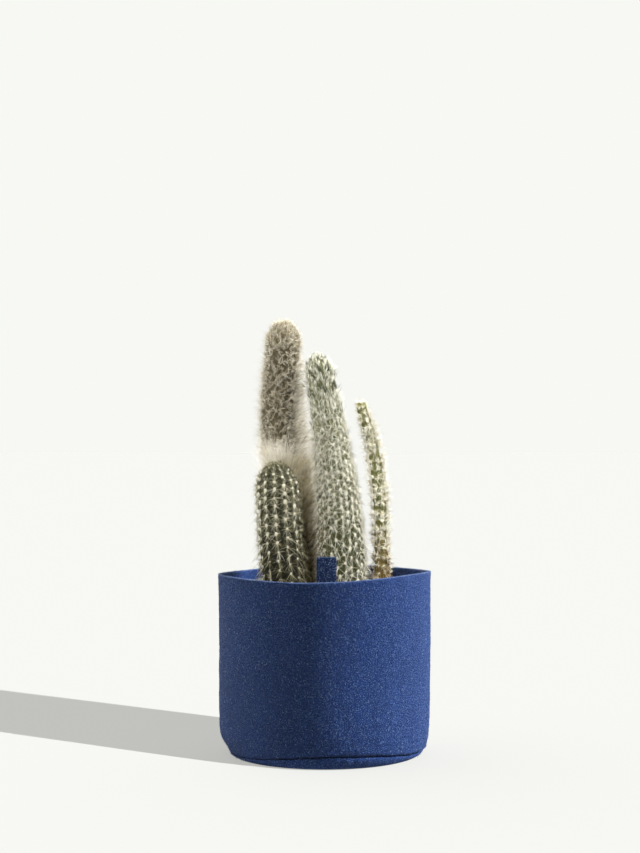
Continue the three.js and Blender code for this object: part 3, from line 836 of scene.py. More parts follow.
soil_profile = profile_points(
    [(20, 6.4), (42.05, 6.4), (54.05, 95.4), (53.6, 96.2), (53.1, 96.4), (46, 97.4), (37, 98), (8, 98), (1.2, 98)], lambda z: 0.9 if z > 95 else 4.0
)


def place_soil(r, z, phi):
    x, y = r * np.cos(phi), r * np.sin(phi)
    top = smooth(95.9, 96.6, z)
    return x, y, z + top * soil_height(x, y)


soil = axis_lathe("potting_mix_surface", soil_profile, 6.4, 98 + float(soil_height(np.array([0.0]), np.array([0.0]))[0]), np.linspace(0, TAU, 301)[:-1], place_soil, mix_mat.m)
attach(soil, "root")
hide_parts("potting_mix")
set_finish(soil, "potting_mix")

STEM_SPOTS = [(-12.4, 16.2, 11.6), (-23.8, -15.8, 12.6), (11.5, -1.8, 13.8), (35.6, 4.0, 4.6)]


def crumbs(name, count, size, stops, seed, long=(1.0, 2.2), flat=(0.35, 0.8), sink=0.25):
    """Loose pieces of bark, peat and grit lying on the mix."""
    rng = np.random.default_rng(seed)
    r = 52.6 * np.sqrt(rng.uniform(0, 1, count * 2))
    a = rng.uniform(0, TAU, count * 2)
    x, y = r * np.cos(a), r * np.sin(a)
    free = np.ones(len(x), bool)
    for sx, sy, sr in STEM_SPOTS:
        free &= np.hypot(x - sx, y - sy) > sr
    x, y = x[free][:count], y[free][:count]
    n = len(x)
    rr = np.hypot(x, y)
    z = np.interp(rr, [0, 37, 46, 53.1], [98, 98, 97.4, 96.4]) + soil_height(x, y)
    s = np.exp(rng.normal(math.log(size), 0.38, n))
    scale = np.stack([s * rng.uniform(*long, n), s * rng.uniform(0.7, 1.1, n), s * rng.uniform(*flat, n)], -1)
    V = BALL2_V[None] * (1 + 0.22 * rng.uniform(-1, 1, (n, len(BALL2_V)))[..., None])
    # squared off a little, as broken pieces are
    V = np.sign(V) * np.abs(V) ** 0.75
    V = V * scale[:, None]
    yaw, tilt = rng.uniform(0, TAU, n), rng.normal(0, 0.35, n)
    ct, st_ = np.cos(tilt)[:, None], np.sin(tilt)[:, None]
    X, Y, Z = V[..., 0] * ct + V[..., 2] * st_, V[..., 1], -V[..., 0] * st_ + V[..., 2] * ct
    cy_, sy_ = np.cos(yaw)[:, None], np.sin(yaw)[:, None]
    W = np.stack([X * cy_ - Y * sy_ + x[:, None], X * sy_ + Y * cy_ + y[:, None], Z + (z + scale[:, 2] * (1 - 2 * sink))[:, None]], -1)
    k = len(BALL2_V)
    F = BALL2_F[None] + (np.arange(n) * k)[:, None, None]
    tone = rng.uniform(0.04, 0.96, n)
    uv = 0.5 + 0.46 * BALL2_V[:, :2]
    duv = np.stack([0.03 * (uv[BALL2_F][..., 0] - 0.5), uv[BALL2_F][..., 1]], -1)
    Wv = np.broadcast_to(duv[None], (n, *duv.shape)).copy()
    Wv[..., 0] += tone[:, None, None]
    m = Mat(name + "_finish", Specular_IOR_Level=0.2)
    u, v = m.uv()
    lump = m.noise(m.coords(), 900, 4, 0.7)
    col = m.ramp(u, stops)
    m.base(m.mix(1.0, col, m.grey(lump, [(0.3, 0.6), (0.7, 1.15)]), "MULTIPLY"))
    m.rough(m.grey(lump, [(0.3, 0.95), (0.7, 0.75)]))
    m.bump(lump, 0.7, 0.0006)
    ob = mesh_object(name, W.reshape(-1, 3), [F.reshape(-1, 3)], [Wv.reshape(-1, 3, 2)], mat=m.m, soft=False)
    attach(ob, "root")
    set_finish(ob, "potting_mix")
    return ob


crumbs("bark_crumbs", 1150, 0.95, [(0.0, lin(42, 29, 19)), (0.4, lin(74, 51, 34)), (0.7, lin(104, 75, 50)), (1.0, lin(136, 104, 74))], 53)
crumbs("grit_crumbs", 190, 0.75, [(0.0, lin(120, 116, 104)), (0.5, lin(176, 172, 160)), (1.0, lin(222, 220, 210))], 54, long=(0.9, 1.3), flat=(0.7, 1.0), sink=0.35)

# ------------------------------------------------------------------ stems
STEMS = {
    "tall": dict(
        node="stem_tall_back", slot="stem_woolly", ribs=20, depth=0.35, cap=12.0, pq=(2.0, 0.6), tip=(-25.2, 9.4, 263.2), phase=0.1,
        points=[
            (-11.6, 16.6, 70, 5.5), (-11.9, 16.4, 84, 9.6), (-12.4, 16.2, 97, 10.6), (-14.0, 15.6, 112, 10.7),
            (-17.0, 14.8, 130, 10.5), (-20.8, 14.0, 149, 10.3), (-24.6, 13.0, 168, 10.2), (-27.2, 12.0, 185, 10.2),
            (-28.1, 11.2, 202, 10.2), (-27.8, 10.6, 219, 10.1), (-26.5, 10.0, 236, 9.8), (-25.6, 9.6, 249, 9.4), (-25.3, 9.4, 256.6, 9.0),
        ],
    ),
    "short": dict(
        node="stem_short_front", slot="stem_dark", ribs=13, depth=1.15, cap=16.0, pq=(2.0, 0.72), tip=(-29.9, -15.9, 177.4), phase=math.radians(-96.6),
        points=[
            (-22.9, -15.6, 70, 6.0), (-23.2, -15.7, 84, 10.4), (-23.8, -15.8, 98, 11.8), (-24.8, -16.0, 111, 12.1),
            (-26.0, -16.1, 124, 12.1), (-27.0, -16.2, 138, 12.0), (-27.7, -16.2, 151, 11.8), (-28.5, -16.1, 162, 11.6), (-29.2, -16.0, 169.0, 11.4),
        ],
    ),
    "middle": dict(
        node="stem_middle", slot="stem_silver", ribs=22, depth=0.8, cap=11.0, pq=(2.0, 0.7), tip=(-4.9, 0.6, 242.4), phase=0.0,
        points=[
            (12.0, -1.6, 68, 7.0), (11.9, -1.7, 82, 11.6), (11.5, -1.8, 98, 13.0), (10.8, -2.0, 112, 13.4),
            (9.8, -2.0, 127, 13.6), (8.8, -2.0, 143, 13.1), (7.6, -1.8, 160, 12.1), (5.6, -1.4, 176, 11.0),
            (3.6, -1.0, 191, 9.8), (1.8, -0.6, 204, 8.9), (-0.4, -0.2, 217, 8.1), (-2.6, 0.2, 229, 7.6), (-3.9, 0.5, 236.0, 7.4),
        ],
    ),
    "thin": dict(
        node="stem_thin_right", slot="stem_young", ribs=7, depth=0.3, cap=4.6, pq=(2.0, 0.5), tip=(21.6, 4.0, 214.0), phase=math.radians(-90 + 14),
        points=[
            (36.2, 4.0, 72, 2.2), (36.0, 4.0, 84, 3.5), (35.6, 4.0, 98, 3.9), (35.2, 4.0, 113, 3.9), (34.8, 4.0, 128, 3.8),
            (34.4, 4.0, 143, 3.7), (33.6, 4.0, 157, 3.6), (32.2, 4.0, 171, 3.5), (30.2, 4.0, 184, 3.3), (27.9, 4.0, 194.6, 3.1),
            (25.0, 4.0, 203.8, 2.9), (23.0, 4.0, 210.0, 2.7),
        ],
    ),
}


def spline(t, y, at_t):
    """Natural cubic spline through (t, y), at at_t."""
    n = len(t)
    h = np.diff(t)
    A = np.eye(n)
    rhs = np.zeros((n, y.shape[1]))
    for i in range(1, n - 1):
        A[i, i - 1], A[i, i], A[i, i + 1] = h[i - 1], 2 * (h[i - 1] + h[i]), h[i]
        rhs[i] = 6 * ((y[i + 1] - y[i]) / h[i] - (y[i] - y[i - 1]) / h[i - 1])
    m = np.linalg.solve(A, rhs)
    k = np.clip(np.searchsorted(t, at_t) - 1, 0, n - 2)
    a, b, hk = (t[k + 1] - at_t)[:, None], (at_t - t[k])[:, None], h[k][:, None]
    return (
        m[k] * a**3 / (6 * hk) + m[k + 1] * b**3 / (6 * hk)
        + (y[k] / hk - m[k] * hk / 6) * a + (y[k + 1] / hk - m[k + 1] * hk / 6) * b
    )


class Stem:
    """A stem's axis, radius and moving frame, by distance s along the axis in mm."""

    def __init__(self, spec):
        self.spec = spec
        pts = np.array(list(spec["points"]) + [(*spec["tip"], spec["points"][-1][3])], float)
        t = np.concatenate([[0], np.cumsum(np.linalg.norm(np.diff(pts[:, :3], axis=0), axis=1))])
        N = 1600
        tt = np.linspace(0, t[-1], N)
        C = spline(t, pts[:, :3], tt)
        self.s = np.concatenate([[0], np.cumsum(np.linalg.norm(np.diff(C, axis=0), axis=1))])
        self.S = self.s[-1]
        self.C = C
        T = unit(np.gradient(C, self.s, axis=0))
        self.T = T
        r = np.interp(tt, t, pts[:, 3])
        k = np.ones(41) / 41
        rs = np.convolve(np.pad(r, 20, mode="edge"), k, "valid")
        cap = spec["cap"]
        p, q = spec["pq"]
        x = np.clip((self.s - (self.S - cap)) / cap, 0, 1)
        self.r = rs * np.maximum(1 - x**p, 0) ** q
        self.dr = np.gradient(self.r, self.s)
        ex = np.array([1.0, 0, 0])
        EX = []
        for i in range(N):
            ex = ex - T[i] * ex.dot(T[i])
            ex = ex / np.linalg.norm(ex)
            EX.append(ex)
        self.EX = np.array(EX)
        self.EY = np.cross(T, self.EX)

    def _at(self, arr, s):
        return np.stack([np.interp(s, self.s, arr[:, k]) for k in range(3)], -1)

    def rad(self, s):
        return np.interp(s, self.s, self.r)

    def height(self, s):
        return np.interp(s, self.s, self.C[:, 2])

    def at_height(self, z):
        return float(np.interp(z, self.C[:, 2], self.s))

    def place(self, s, phi, h=0.0):
        """Point, outward normal, upward tangent and sideways tangent on the stem's skin."""
        C, T, EX, EY = (self._at(a, s) for a in (self.C, self.T, self.EX, self.EY))
        rad = EX * np.cos(phi)[..., None] + EY * np.sin(phi)[..., None]
        dr = np.interp(s, self.s, self.dr)
        N = unit(rad - T * dr[..., None])
        U = unit(T + rad * dr[..., None])
        P = C + rad * self.rad(s)[..., None] + N * np.asarray(h)[..., None]
        return P, N, U, np.cross(U, N)


def areoles(stem, spacing, z_from, tip_gap=1.0, squeeze=0.35, jitter=0.25, young=0.25, rng=None):
    """Where the areoles sit: s, phi and rib, staggered from rib to rib, closer near the tip."""
    spec = stem.spec
    s0, s1 = stem.at_height(z_from), stem.S - tip_gap
    body = np.median(stem.r[(stem.s > s0) & (stem.s < stem.S - spec["cap"])])
    rows = [s0]
    while rows[-1] < s1:
        s = rows[-1]
        f = max(squeeze, min(1.0, float(stem.rad(np.array(s))) / (0.8 * body)))
        y = 1 - young * float(smooth(stem.S - 35, stem.S, s))
        rows.append(s + 0.5 * spacing * f * y)
    rows = np.array(rows[:-1])
    S, PH, K = [], [], []
    for k in range(spec["ribs"]):
        pick = rows[k % 2 :: 2]
        crowd = stem.rad(pick) * TAU / spec["ribs"]
        pick = pick[(crowd > 0.9) | ((k % 2 == 0) & (crowd > 0.45)) | ((k % 4 == 0) & (crowd > 0.2))]
        S.append(pick + rng.normal(0, jitter, len(pick)) * np.clip(stem.rad(pick) / body, 0.2, 1))
        PH.append(np.full(len(pick), spec["phase"] + TAU * k / spec["ribs"]) + rng.normal(0, 0.022, len(pick)))
        K.append(np.full(len(pick), k))
    return np.clip(np.concatenate(S), 0, stem.S - 0.3), np.concatenate(PH), np.concatenate(K)


def crown(stem, ar, count, depth, rng):
    """The same areoles with more of them scattered over the last few millimetres of the tip."""
    s = stem.S - 0.4 - depth * ((np.arange(count) + rng.random(count)) / count) ** 0.8
    phi = np.arange(count) * 2.39996 + rng.normal(0, 0.15, count)
    return np.concatenate([ar[0], s]), np.concatenate([ar[1], phi % TAU]), np.concatenate([ar[2], 0 * ar[2][:1].repeat(count)])


def stem_body(name, stem, mat, ar, nphi, ns, bump=0.35, z_soil=96.0, wide=(1.15, 1.35), bands=0.85, dots=0.3):
    """The skin: ribs with a low swelling under each areole, closed at both ends."""
    spec = stem.spec
    cap = spec["cap"]
    s_soil = stem.at_height(z_soil - 6)
    a = np.linspace(0.5, s_soil, 10)[:-1]
    b = np.linspace(s_soil, stem.S - cap, ns)
    c = stem.S - cap + cap * np.sin(np.linspace(0, math.pi / 2, 54)[1:-1])
    s = np.concatenate([a, b, c])
    ph = np.linspace(0, TAU, nphi + 1)[:-1]
    SS, PP = np.meshgrid(s, ph, indexing="ij")
    R = stem.rad(SS)
    shown = smooth(stem.at_height(z_soil - 8), stem.at_height(z_soil + 2), SS)
    wave = 0.5 - 0.5 * np.cos((PP - spec["phase"]) * spec["ribs"])
    size = np.clip(R / (0.6 * np.median(stem.r)), 0, 1)
    h = -spec["depth"] * shown * size * wave**0.85
    # swellings that carry the areoles
    tub = np.zeros_like(SS)
    for sa, pa in zip(ar[0], ar[1]):
        i0, i1 = np.searchsorted(s, [sa - 3.4, sa + 3.4])
        if i1 <= i0:
            continue
        dp = (ph - pa + math.pi) % TAU - math.pi
        r = max(1.0, float(stem.rad(np.array(sa))))
        near = np.abs(dp) * r < 3.2
        x = (dp[near] * r)[None, :]
        y = (s[i0:i1] - sa)[:, None]
        tub[np.ix_(np.arange(i0, i1), np.where(near)[0])] += np.exp(-((x / wide[0]) ** 2) - ((y / wide[1]) ** 2))
    tub = np.clip(tub, 0, 1.2)
    h = h + bump * tub * shown * size
    P, N, _, _ = stem.place(SS.ravel(), PP.ravel(), np.zeros(SS.size))
    h = h.ravel() + size.ravel() * shown.ravel() * (0.10 * noise(P, 2.0, 21) + 0.05 * noise(P, 0.9, 22))
    V = P + N * h[:, None]
    rows, cols = SS.shape
    low, top = rows * cols, rows * cols + 1
    V = np.concatenate([V, [stem.C[0]], [stem.C[-1]]])
    ci = np.arange(cols)
    fan0 = np.stack([np.full(cols, low), (ci + 1) % cols, ci], -1)
    fan1 = np.stack([np.full(cols, top), (rows - 1) * cols + ci, (rows - 1) * cols + (ci + 1) % cols], -1)
    us = np.concatenate([ph, [TAU]]) / TAU
    vs = 0.01 + 0.98 * s / stem.S
    um = (us[:-1] + us[1:]) / 2
    f0 = np.stack([np.stack([um, 0 * um], -1), np.stack([us[1:], 0 * um + vs[0]], -1), np.stack([us[:-1], 0 * um + vs[0]], -1)], 1)
    f1 = np.stack([np.stack([um, 0 * um + 1], -1), np.stack([us[:-1], 0 * um + vs[-1]], -1), np.stack([us[1:], 0 * um + vs[-1]], -1)], 1)
    # rib_shade: painted shade, low in the grooves, and painted light, high on the rib crests and the swellings under
    # the areoles
    rib_shade = np.concatenate([np.clip(0.85 - bands * wave + dots * (tub - 0.3) - (0.85 - bands) * 0.5, 0, 1).ravel(), [0.5, 0.5]])
    high = np.concatenate([(stem.height(SS)).ravel() / 265.0, [0, 1]])
    ob = mesh_object(name, V, [grid(rows, cols), np.concatenate([fan0, fan1])], [grid_uv(us, vs), np.concatenate([f0, f1])], attrs={"rib_shade": rib_shade, "high": high}, mat=mat)
    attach(ob, "root")
    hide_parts(spec["node"])
    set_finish(ob, spec["slot"])
    return ob


def skin_material(name, groove, flank, crest_c, base_c, tint, cork_and_shade=(98, 122)):
    """Epidermis: painted shade darker in the grooves, painted light paler on the crests, and darker near the soil:
    corky brown on most stems, painted shade under the pot rim on the short stem.
    """
    m = Mat(name, Specular_IOR_Level=0.35)
    co = m.coords()
    mott = m.noise(co, 420, 4, 0.6)
    fine = m.noise(co, 2100, 2, 0.6)
    rib_shade = m.attr("rib_shade")
    high = m.attr("high")
    # the rib_shade attribute paints shade into the grooves and light onto the crests
    f = m.math("ADD", rib_shade, m.math("MULTIPLY", m.math("SUBTRACT", mott, 0.5), 0.5))
    col = m.ramp(f, [(0.0, groove), (0.45, flank), (1.0, crest_c)])
    c = m.math("ADD", high, m.math("MULTIPLY", m.math("SUBTRACT", mott, 0.5), 0.06))
    # darker towards the soil between the cork_and_shade heights: corky brown on most stems, painted shade under the pot
    # rim on the short stem
    lo, hi = cork_and_shade[0] / 265, cork_and_shade[1] / 265
    col = m.mix(m.grey(c, [(lo, 0.9), ((lo + hi) / 2, 0.45), (hi, 0.0)]), col, base_c)
    col = m.mix(m.grey(fine, [(0.45, 0.0), (0.75, 0.35)]), col, tint)
    m.base(col)
    m.rough(m.grey(mott, [(0.3, 0.45), (0.7, 0.62)]))
    m.bump(fine, 0.25, 0.0002)
    return m.m


def cushions(name, P, N, U, size, mat, seed, flat=0.55, long=1.3, fine=False, slot=None):
    """The woolly cushions of the areoles: small lumpy domes set into the skin."""
    rng = np.random.default_rng(seed)
    BV, BF = (BALL2_V, BALL2_F) if fine else (BALL_V, BALL_F)
    n, k = len(P), len(BV)
    Sd = np.cross(U, N)
    lump = 1 + 0.25 * rng.uniform(-1, 1, (n, k))
    sz = size[:, None] * lump
    stretch = (long * rng.uniform(0.8, 1.2, n))[:, None]
    V = (
        P[:, None]
        + Sd[:, None] * (BV[None, :, 0] * sz)[..., None]
        + U[:, None] * (BV[None, :, 1] * sz * stretch)[..., None]
        + N[:, None] * (BV[None, :, 2] * sz * flat)[..., None]
    )
    F = BF[None] + (np.arange(n) * k)[:, None, None]
    uv = 0.5 + 0.46 * BV[:, :2]
    W = np.broadcast_to(uv[BF][None], (n, *BF.shape, 2))
    ob = mesh_object(name, V.reshape(-1, 3), [F.reshape(-1, 3)], [W.reshape(-1, 3, 2)], mat=mat)
    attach(ob, "root")
    if slot:
        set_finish(ob, slot)
    return ob


def wool_material(name, a, b):
    m = Mat(name, Specular_IOR_Level=0.1, Sheen_Weight=0.3, Sheen_Roughness=0.5)
    n = m.node("ShaderNodeUVMap", uv_map="OFBake")
    t = m.noise(n.outputs[0], 9.0, 4, 0.7)
    m.base(m.ramp(t, [(0.35, a), (0.65, b)]))
    m.rough(m.grey(t, [(0.3, 0.95), (0.7, 0.85)]))
    m.bump(t, 0.5, 0.0003)
    return m.m


def bundle(stem, ar, per, rng, up=0.0, aim=math.pi, width=1.0, loose=0.3, lift=(10, 35), length=(3.0, 5.0), radius=0.13,
           droop=0.1, curl=0.08, inward=(-0.15, 0.1), disc=0.45, gain=1.0, rise=0.25, lean=0.0, up_width=0.42):
    """Spines or wool at each areole. up: the share that points to the tip; the rest points towards aim
    (0 = up the stem, pi = down) within width, and the share loose goes any way. lift: degrees off the skin."""
    sa, pa = ar[0], ar[1]
    n = len(sa)
    P, N, U, W = stem.place(sa, pa, np.full(n, rise))
    per = np.broadcast_to(per, n).astype(int)
    rep = np.repeat(np.arange(n), per)
    m = len(rep)

    def each(v):
        return np.broadcast_to(v, n)[rep]

    th = each(aim) + each(width) * rng.normal(0, 1, m)
    th = np.where(rng.random(m) < each(loose), rng.uniform(-math.pi, math.pi, m), th)
    go_up = rng.random(m) < each(up)
    th = np.where(go_up, rng.normal(0, 1, m) * each(up_width), th)
    el = np.radians(each(lift[0]) + (each(lift[1]) - each(lift[0])) * rng.random(m))
    c, s = np.cos(th), np.sin(th)
    flatd = U[rep] * c[:, None] + W[rep] * s[:, None]
    D = flatd * np.cos(el)[:, None] + N[rep] * np.sin(el)[:, None]
    D = unit(D + (rng.normal(0, 1, (n, 3)) * lean)[rep])
    L = (each(length[0]) + (each(length[1]) - each(length[0])) * rng.random(m)) * each(gain)
    R = each(radius) * rng.uniform(0.75, 1.25, m)
    B = rng.normal(0, 1, (m, 3)) * (each(curl) * L)[:, None] + N[rep] * (L * rng.uniform(inward[0], inward[1], m))[:, None]
    B[:, 2] -= each(droop) * L
    Q = P[rep] + flatd * (disc * each(gain) * rng.random(m))[:, None]
    return dict(P=Q, D=D, L=L, R=R, B=B, rep=rep, z=Q[:, 2], N=N[rep])


def grow(name, parts, tone, mat, segs, seed, slot, taper=0.7):
    """One piece from one or more bundles."""
    parts = parts if isinstance(parts, list) else [parts]
    g = {k: np.concatenate([p[k] for p in parts]) for k in ("P", "D", "L", "R", "B")}
    ob = strands(name, g["P"], g["D"], g["L"], g["R"], tone, mat, g["B"], segs=segs, taper=taper, seed=seed)
    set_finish(ob, slot)
    return ob


_ball = bmesh.new()
bmesh.ops.create_icosphere(_ball, subdivisions=1, radius=1.0)
BALL_V = np.array([v.co[:] for v in _ball.verts])
BALL_F = np.array([[v.index for v in f.verts] for f in _ball.faces])
_ball.free()

stems = {k: Stem(v) for k, v in STEMS.items()}

# --- short dark stem at the front left
st = stems["short"]
rng = np.random.default_rng(11)
ar = areoles(st, 5.4, 97.5, tip_gap=0.9, rng=rng)
# the short stem's skin turns near-black towards the soil: painted shade under the pot rim
skin = skin_material("skin_short", lin(22, 21, 8), lin(40, 41, 17), lin(57, 58, 28), lin(9, 7, 1), lin(72, 73, 42), cork_and_shade=(114, 150))
stem_body("cactus_short_front", st, skin, ar, 208, 230, bump=1.0, wide=(1.6, 1.9), bands=0.45, dots=0.5)
wool = wool_material("areole_wool", lin(206, 202, 180), lin(246, 244, 230))
g = np.clip(st.rad(ar[0]) / 11, 0.4, 1.0)
z = st.height(ar[0])
low = 1 - smooth(106, 146, z)
tipness = 1 - smooth(3, 16, st.S - ar[0])
P, N, U, W = st.place(ar[0], ar[1], np.full(len(ar[0]), 0.75))
cushions("areoles_short_front", P, N, U, 1.0 * g * (1 - 0.45 * low) * (1 - 0.2 * tipness) * rng.uniform(0.7, 1.2, len(P)), wool, 12, fine=True, long=1.25, slot="stem_dark")
tuft = bundle(st, ar, 10, rng, aim=0.0, width=3.0, loose=1.0, lift=(15, 80), length=(0.6, 1.2), radius=0.09, droop=0.02, curl=0.15, disc=0.7, gain=g, rise=0.9)
wool_strand = strand_material("areole_wool_hair", [(0.0, lin(190, 184, 158)), (0.5, lin(226, 222, 202)), (1.0, lin(250, 248, 238))], rough=0.8, root=0.9)
grow("areole_wool_short_front", tuft, rng.uniform(0.2, 1.0, len(tuft["L"])), wool_strand, 2, 14, "stem_dark")
spine_short = strand_material(
    "spines_short", [(0.0, lin(58, 52, 24)), (0.35, lin(126, 121, 84)), (0.7, lin(194, 190, 158)), (1.0, lin(244, 241, 222))], root=0.9
)
radial = bundle(st, ar, np.where(tipness > 0.5, 20, np.where(low > 0.5, 18, 28)), rng, up=0.3 * tipness, width=1.5, loose=0.9, lift=(6, 34 + 22 * tipness), length=(2.8, 6.0), radius=0.10, droop=0.08, curl=0.07, gain=np.maximum(g, 0.62), rise=0.75, lean=0.12)
central = bundle(st, ar, np.where(low > 0.3, 5, 3), rng, up=0.4 * tipness, width=0.75, loose=0.2, lift=(24, 58), length=(4.2 + 2.6 * low, 7.0 + 4.2 * low), radius=0.105, droop=0.22, curl=0.06, gain=np.maximum(g, 0.6), rise=0.7)
n1, n2 = len(radial["L"]), len(central["L"])
tone = np.concatenate([rng.normal(0.66, 0.25, n1), rng.normal(0.88, 0.15, n2)])
# painted shade: spines on the right side, where the middle stem shades this stem, are darker
right_painted_shade = 0.34 * smooth(0.55, 0.95, np.cos(ar[1] - 0.1))
tone = tone - np.concatenate([right_painted_shade[radial["rep"]], right_painted_shade[central["rep"]]])
# spines darker towards the soil: painted shade under the pot rim; also darker near the tip
tone = np.clip(tone - np.concatenate([0.58 * low[radial["rep"]], 0.30 * low[central["rep"]]]) - 0.30 * np.concatenate([tipness[radial["rep"]], tipness[central["rep"]]]), 0, 1)
grow("spines_short_front", [radial, central], tone, spine_short, 2, 13, "stem_dark")

# --- middle silvery stem
st = stems["middle"]
rng = np.random.default_rng(21)
ar = areoles(st, 5.5, 97.5, tip_gap=0.4, young=0.15, rng=rng)
skin = skin_material("skin_middle", lin(56, 59, 32), lin(96, 99, 66), lin(134, 136, 98), lin(42, 48, 4), lin(150, 151, 114), cork_and_shade=(116, 176))
stem_body("cactus_middle", st, skin, ar, 220, 330, bump=0.7, wide=(1.3, 1.6), bands=0.5, dots=0.45)
g = np.clip(st.rad(ar[0]) / 9, 0.4, 1.0)
z = st.height(ar[0])
topness = np.clip(smooth(186, 230, z) + rng.normal(0, 0.12, len(z)), 0, 1)
low = 1 - smooth(150, 215, z)
base_z = 1 - smooth(110, 164, z)
P, N, U, W = st.place(ar[0], ar[1], np.full(len(ar[0]), 0.5))
cushions("areoles_middle", P, N, U, (0.42 + 0.50 * low - 0.08 * base_z) * g * rng.uniform(0.75, 1.25, len(P)), wool, 22, fine=False, long=1.25, slot="stem_silver")
tuft = bundle(st, ar, np.round(9 * (1 - topness)).astype(int), rng, aim=0.0, width=3.0, loose=1.0, lift=(15, 80), length=(0.7, 1.5), radius=0.09, droop=0.02, curl=0.15, disc=0.7, gain=g, rise=0.6)
grow("areole_wool_middle", tuft, rng.uniform(0.2, 1.0, len(tuft["L"])), wool_strand, 2, 24, "stem_silver")
spine_mid = strand_material(
    "spines_middle", [(0.0, lin(92, 90, 56)), (0.35, lin(160, 158, 126)), (0.7, lin(226, 224, 200)), (1.0, lin(255, 254, 244))], root=0.92
)
tip_mid = strand_material(
    "spines_middle_tip", [(0.0, lin(62, 66, 48)), (0.35, lin(134, 136, 116)), (0.6, lin(208, 208, 188)), (1.0, lin(255, 254, 244))], root=0.9
)
radial = bundle(st, ar, np.round(np.where(base_z > 0.5, 9, 22) * (1 - topness)).astype(int), rng, up=0.9 * topness, width=1.5, loose=0.8 * (1 - topness), lift=(6, 36), length=(3.0, 5.9), radius=0.09, droop=0.07, curl=0.07, gain=np.maximum(g, 0.75), rise=0.5, lean=0.10)
central = bundle(st, ar, np.round(4 * (1 - topness)).astype(int), rng, up=0.9 * topness, width=0.9, loose=0.3 * (1 - topness), lift=(18, 50), length=(3.8 + 2.6 * base_z, 6.8 + 3.4 * base_z), radius=0.112, droop=0.14, curl=0.06, gain=np.maximum(g, 0.7), rise=0.5)
n1, n2 = len(radial["L"]), len(central["L"])
tone = np.concatenate([rng.normal(0.84, 0.26, n1), rng.normal(1.0, 0.10, n2)])
tone = np.clip(tone - np.concatenate([0.30 * base_z[radial["rep"]], 0.14 * base_z[central["rep"]]]), 0, 1)
grow("spines_middle", [radial, central], tone, spine_mid, 2, 23, "stem_silver")
young = topness > 0.06
ar_t = (ar[0][young], ar[1][young])
spires = bundle(st, ar_t, np.round(14 * topness[young] ** 0.8).astype(int), rng, up=0.94, up_width=0.24, width=1.2, loose=0.0, lift=(5, 36), length=(4.2, 8.4), radius=0.125, droop=0.0, curl=0.03, disc=0.3, gain=np.maximum(g[young], 0.8) * (0.6 + 0.4 * smooth(1, 11, st.S - ar_t[0])), rise=0.4, lean=0.12)
per_areole = np.interp((np.arange(len(ar_t[0])) * 0.618034 + rng.normal(0, 0.04, len(ar_t[0]))) % 1, [0, 0.24, 0.25, 0.36, 0.37, 1], [0.06, 0.06, 0.56, 0.56, 1.0, 1.0]) - 0.18 * (1 - smooth(2, 13, st.S - ar_t[0]))
# painted shade: spires on the right side are made darker, against the light from the right
per_areole = per_areole - 0.08 * smooth(0.6, 1.0, np.cos(ar_t[1]))
tone = np.clip(per_areole[spires["rep"]] + rng.normal(0, 0.20, len(spires["L"])), 0, 1)
grow("spines_middle_tip", spires, tone, tip_mid, 2, 25, "stem_silver")

# --- thin young stem at the right
st = stems["thin"]
rng = np.random.default_rng(31)
ar = areoles(st, 5.4, 97.5, tip_gap=0.6, squeeze=0.7, jitter=0.8, rng=rng)
ar = crown(st, (ar[0], ar[1] + rng.normal(0, 0.12, len(ar[1])), ar[2]), 6, 2.2, rng)
skin = skin_material("skin_thin", lin(62, 66, 26), lin(98, 100, 54), lin(132, 132, 88), lin(92, 66, 20), lin(140, 138, 96), cork_and_shade=(104, 150))
stem_body("cactus_thin_right", st, skin, ar, 112, 420, bump=0.8, wide=(1.1, 1.5), bands=0.3, dots=0.6)
g = np.clip(st.rad(ar[0]) / 3.5, 0.55, 1.0)
P, N, U, W = st.place(ar[0], ar[1], np.full(len(ar[0]), 0.6))
z = st.height(ar[0])
golden = 1 - smooth(104, 140, z)
wool_thin = wool_material("areole_wool_thin", lin(222, 220, 196), lin(252, 251, 240))
cushions("areoles_thin_right", P, N, U, 0.9 * g * (1 - 0.3 * golden) * rng.uniform(0.5, 1.3, len(P)), wool_thin, 32, fine=True, long=1.2, slot="stem_young")
tuft = bundle(st, ar, 12, rng, aim=0.0, width=3.0, loose=1.0, lift=(20, 85), length=(0.8, 1.8), radius=0.085, droop=0.02, curl=0.15, disc=0.7, gain=g, rise=0.7)
spine_thin = strand_material(
    "spines_thin", [(0.0, lin(112, 80, 26)), (0.3, lin(172, 142, 78)), (0.6, lin(226, 221, 190)), (1.0, lin(255, 254, 246))], root=0.9
)
grow("areole_wool_thin_right", tuft, np.clip(rng.uniform(0.55, 1.0, len(tuft["L"])) - 0.3 * golden[tuft["rep"]], 0, 1), spine_thin, 2, 34, "stem_young")
slim = (0.55 + 0.45 * smooth(2, 20, st.S - ar[0])) * (1 - 0.15 * golden)
near_tip = 1 - smooth(2, 10, st.S - ar[0])
row = rng.normal(0, 0.14, len(P))
radial = bundle(st, ar, np.clip(29 * (1 + 0.22 * rng.normal(0, 1, len(P))), 14, 44).astype(int), rng, up=0.62 + 0.3 * near_tip, up_width=0.9, width=1.5, loose=0.5, lift=(10 - 5 * near_tip, 52 - 28 * near_tip), length=(2.2, 5.4), radius=0.135, droop=0.03, curl=0.05, gain=slim * (1 + row), rise=0.6, lean=0.34)
central = bundle(st, ar, 7, rng, up=0.45 + 0.45 * near_tip, width=1.1, loose=0.4, lift=(24 - 14 * near_tip, 66 - 28 * near_tip), length=(3.4, 6.6), radius=0.11, droop=0.06, curl=0.08, gain=slim, rise=0.6, lean=0.25)
zz = np.concatenate([radial["z"], central["z"]])
brown = rng.random(len(zz)) < 0.24 - 0.14 * smooth(110, 150, zz) + 0.12 * smooth(204, 214, zz)
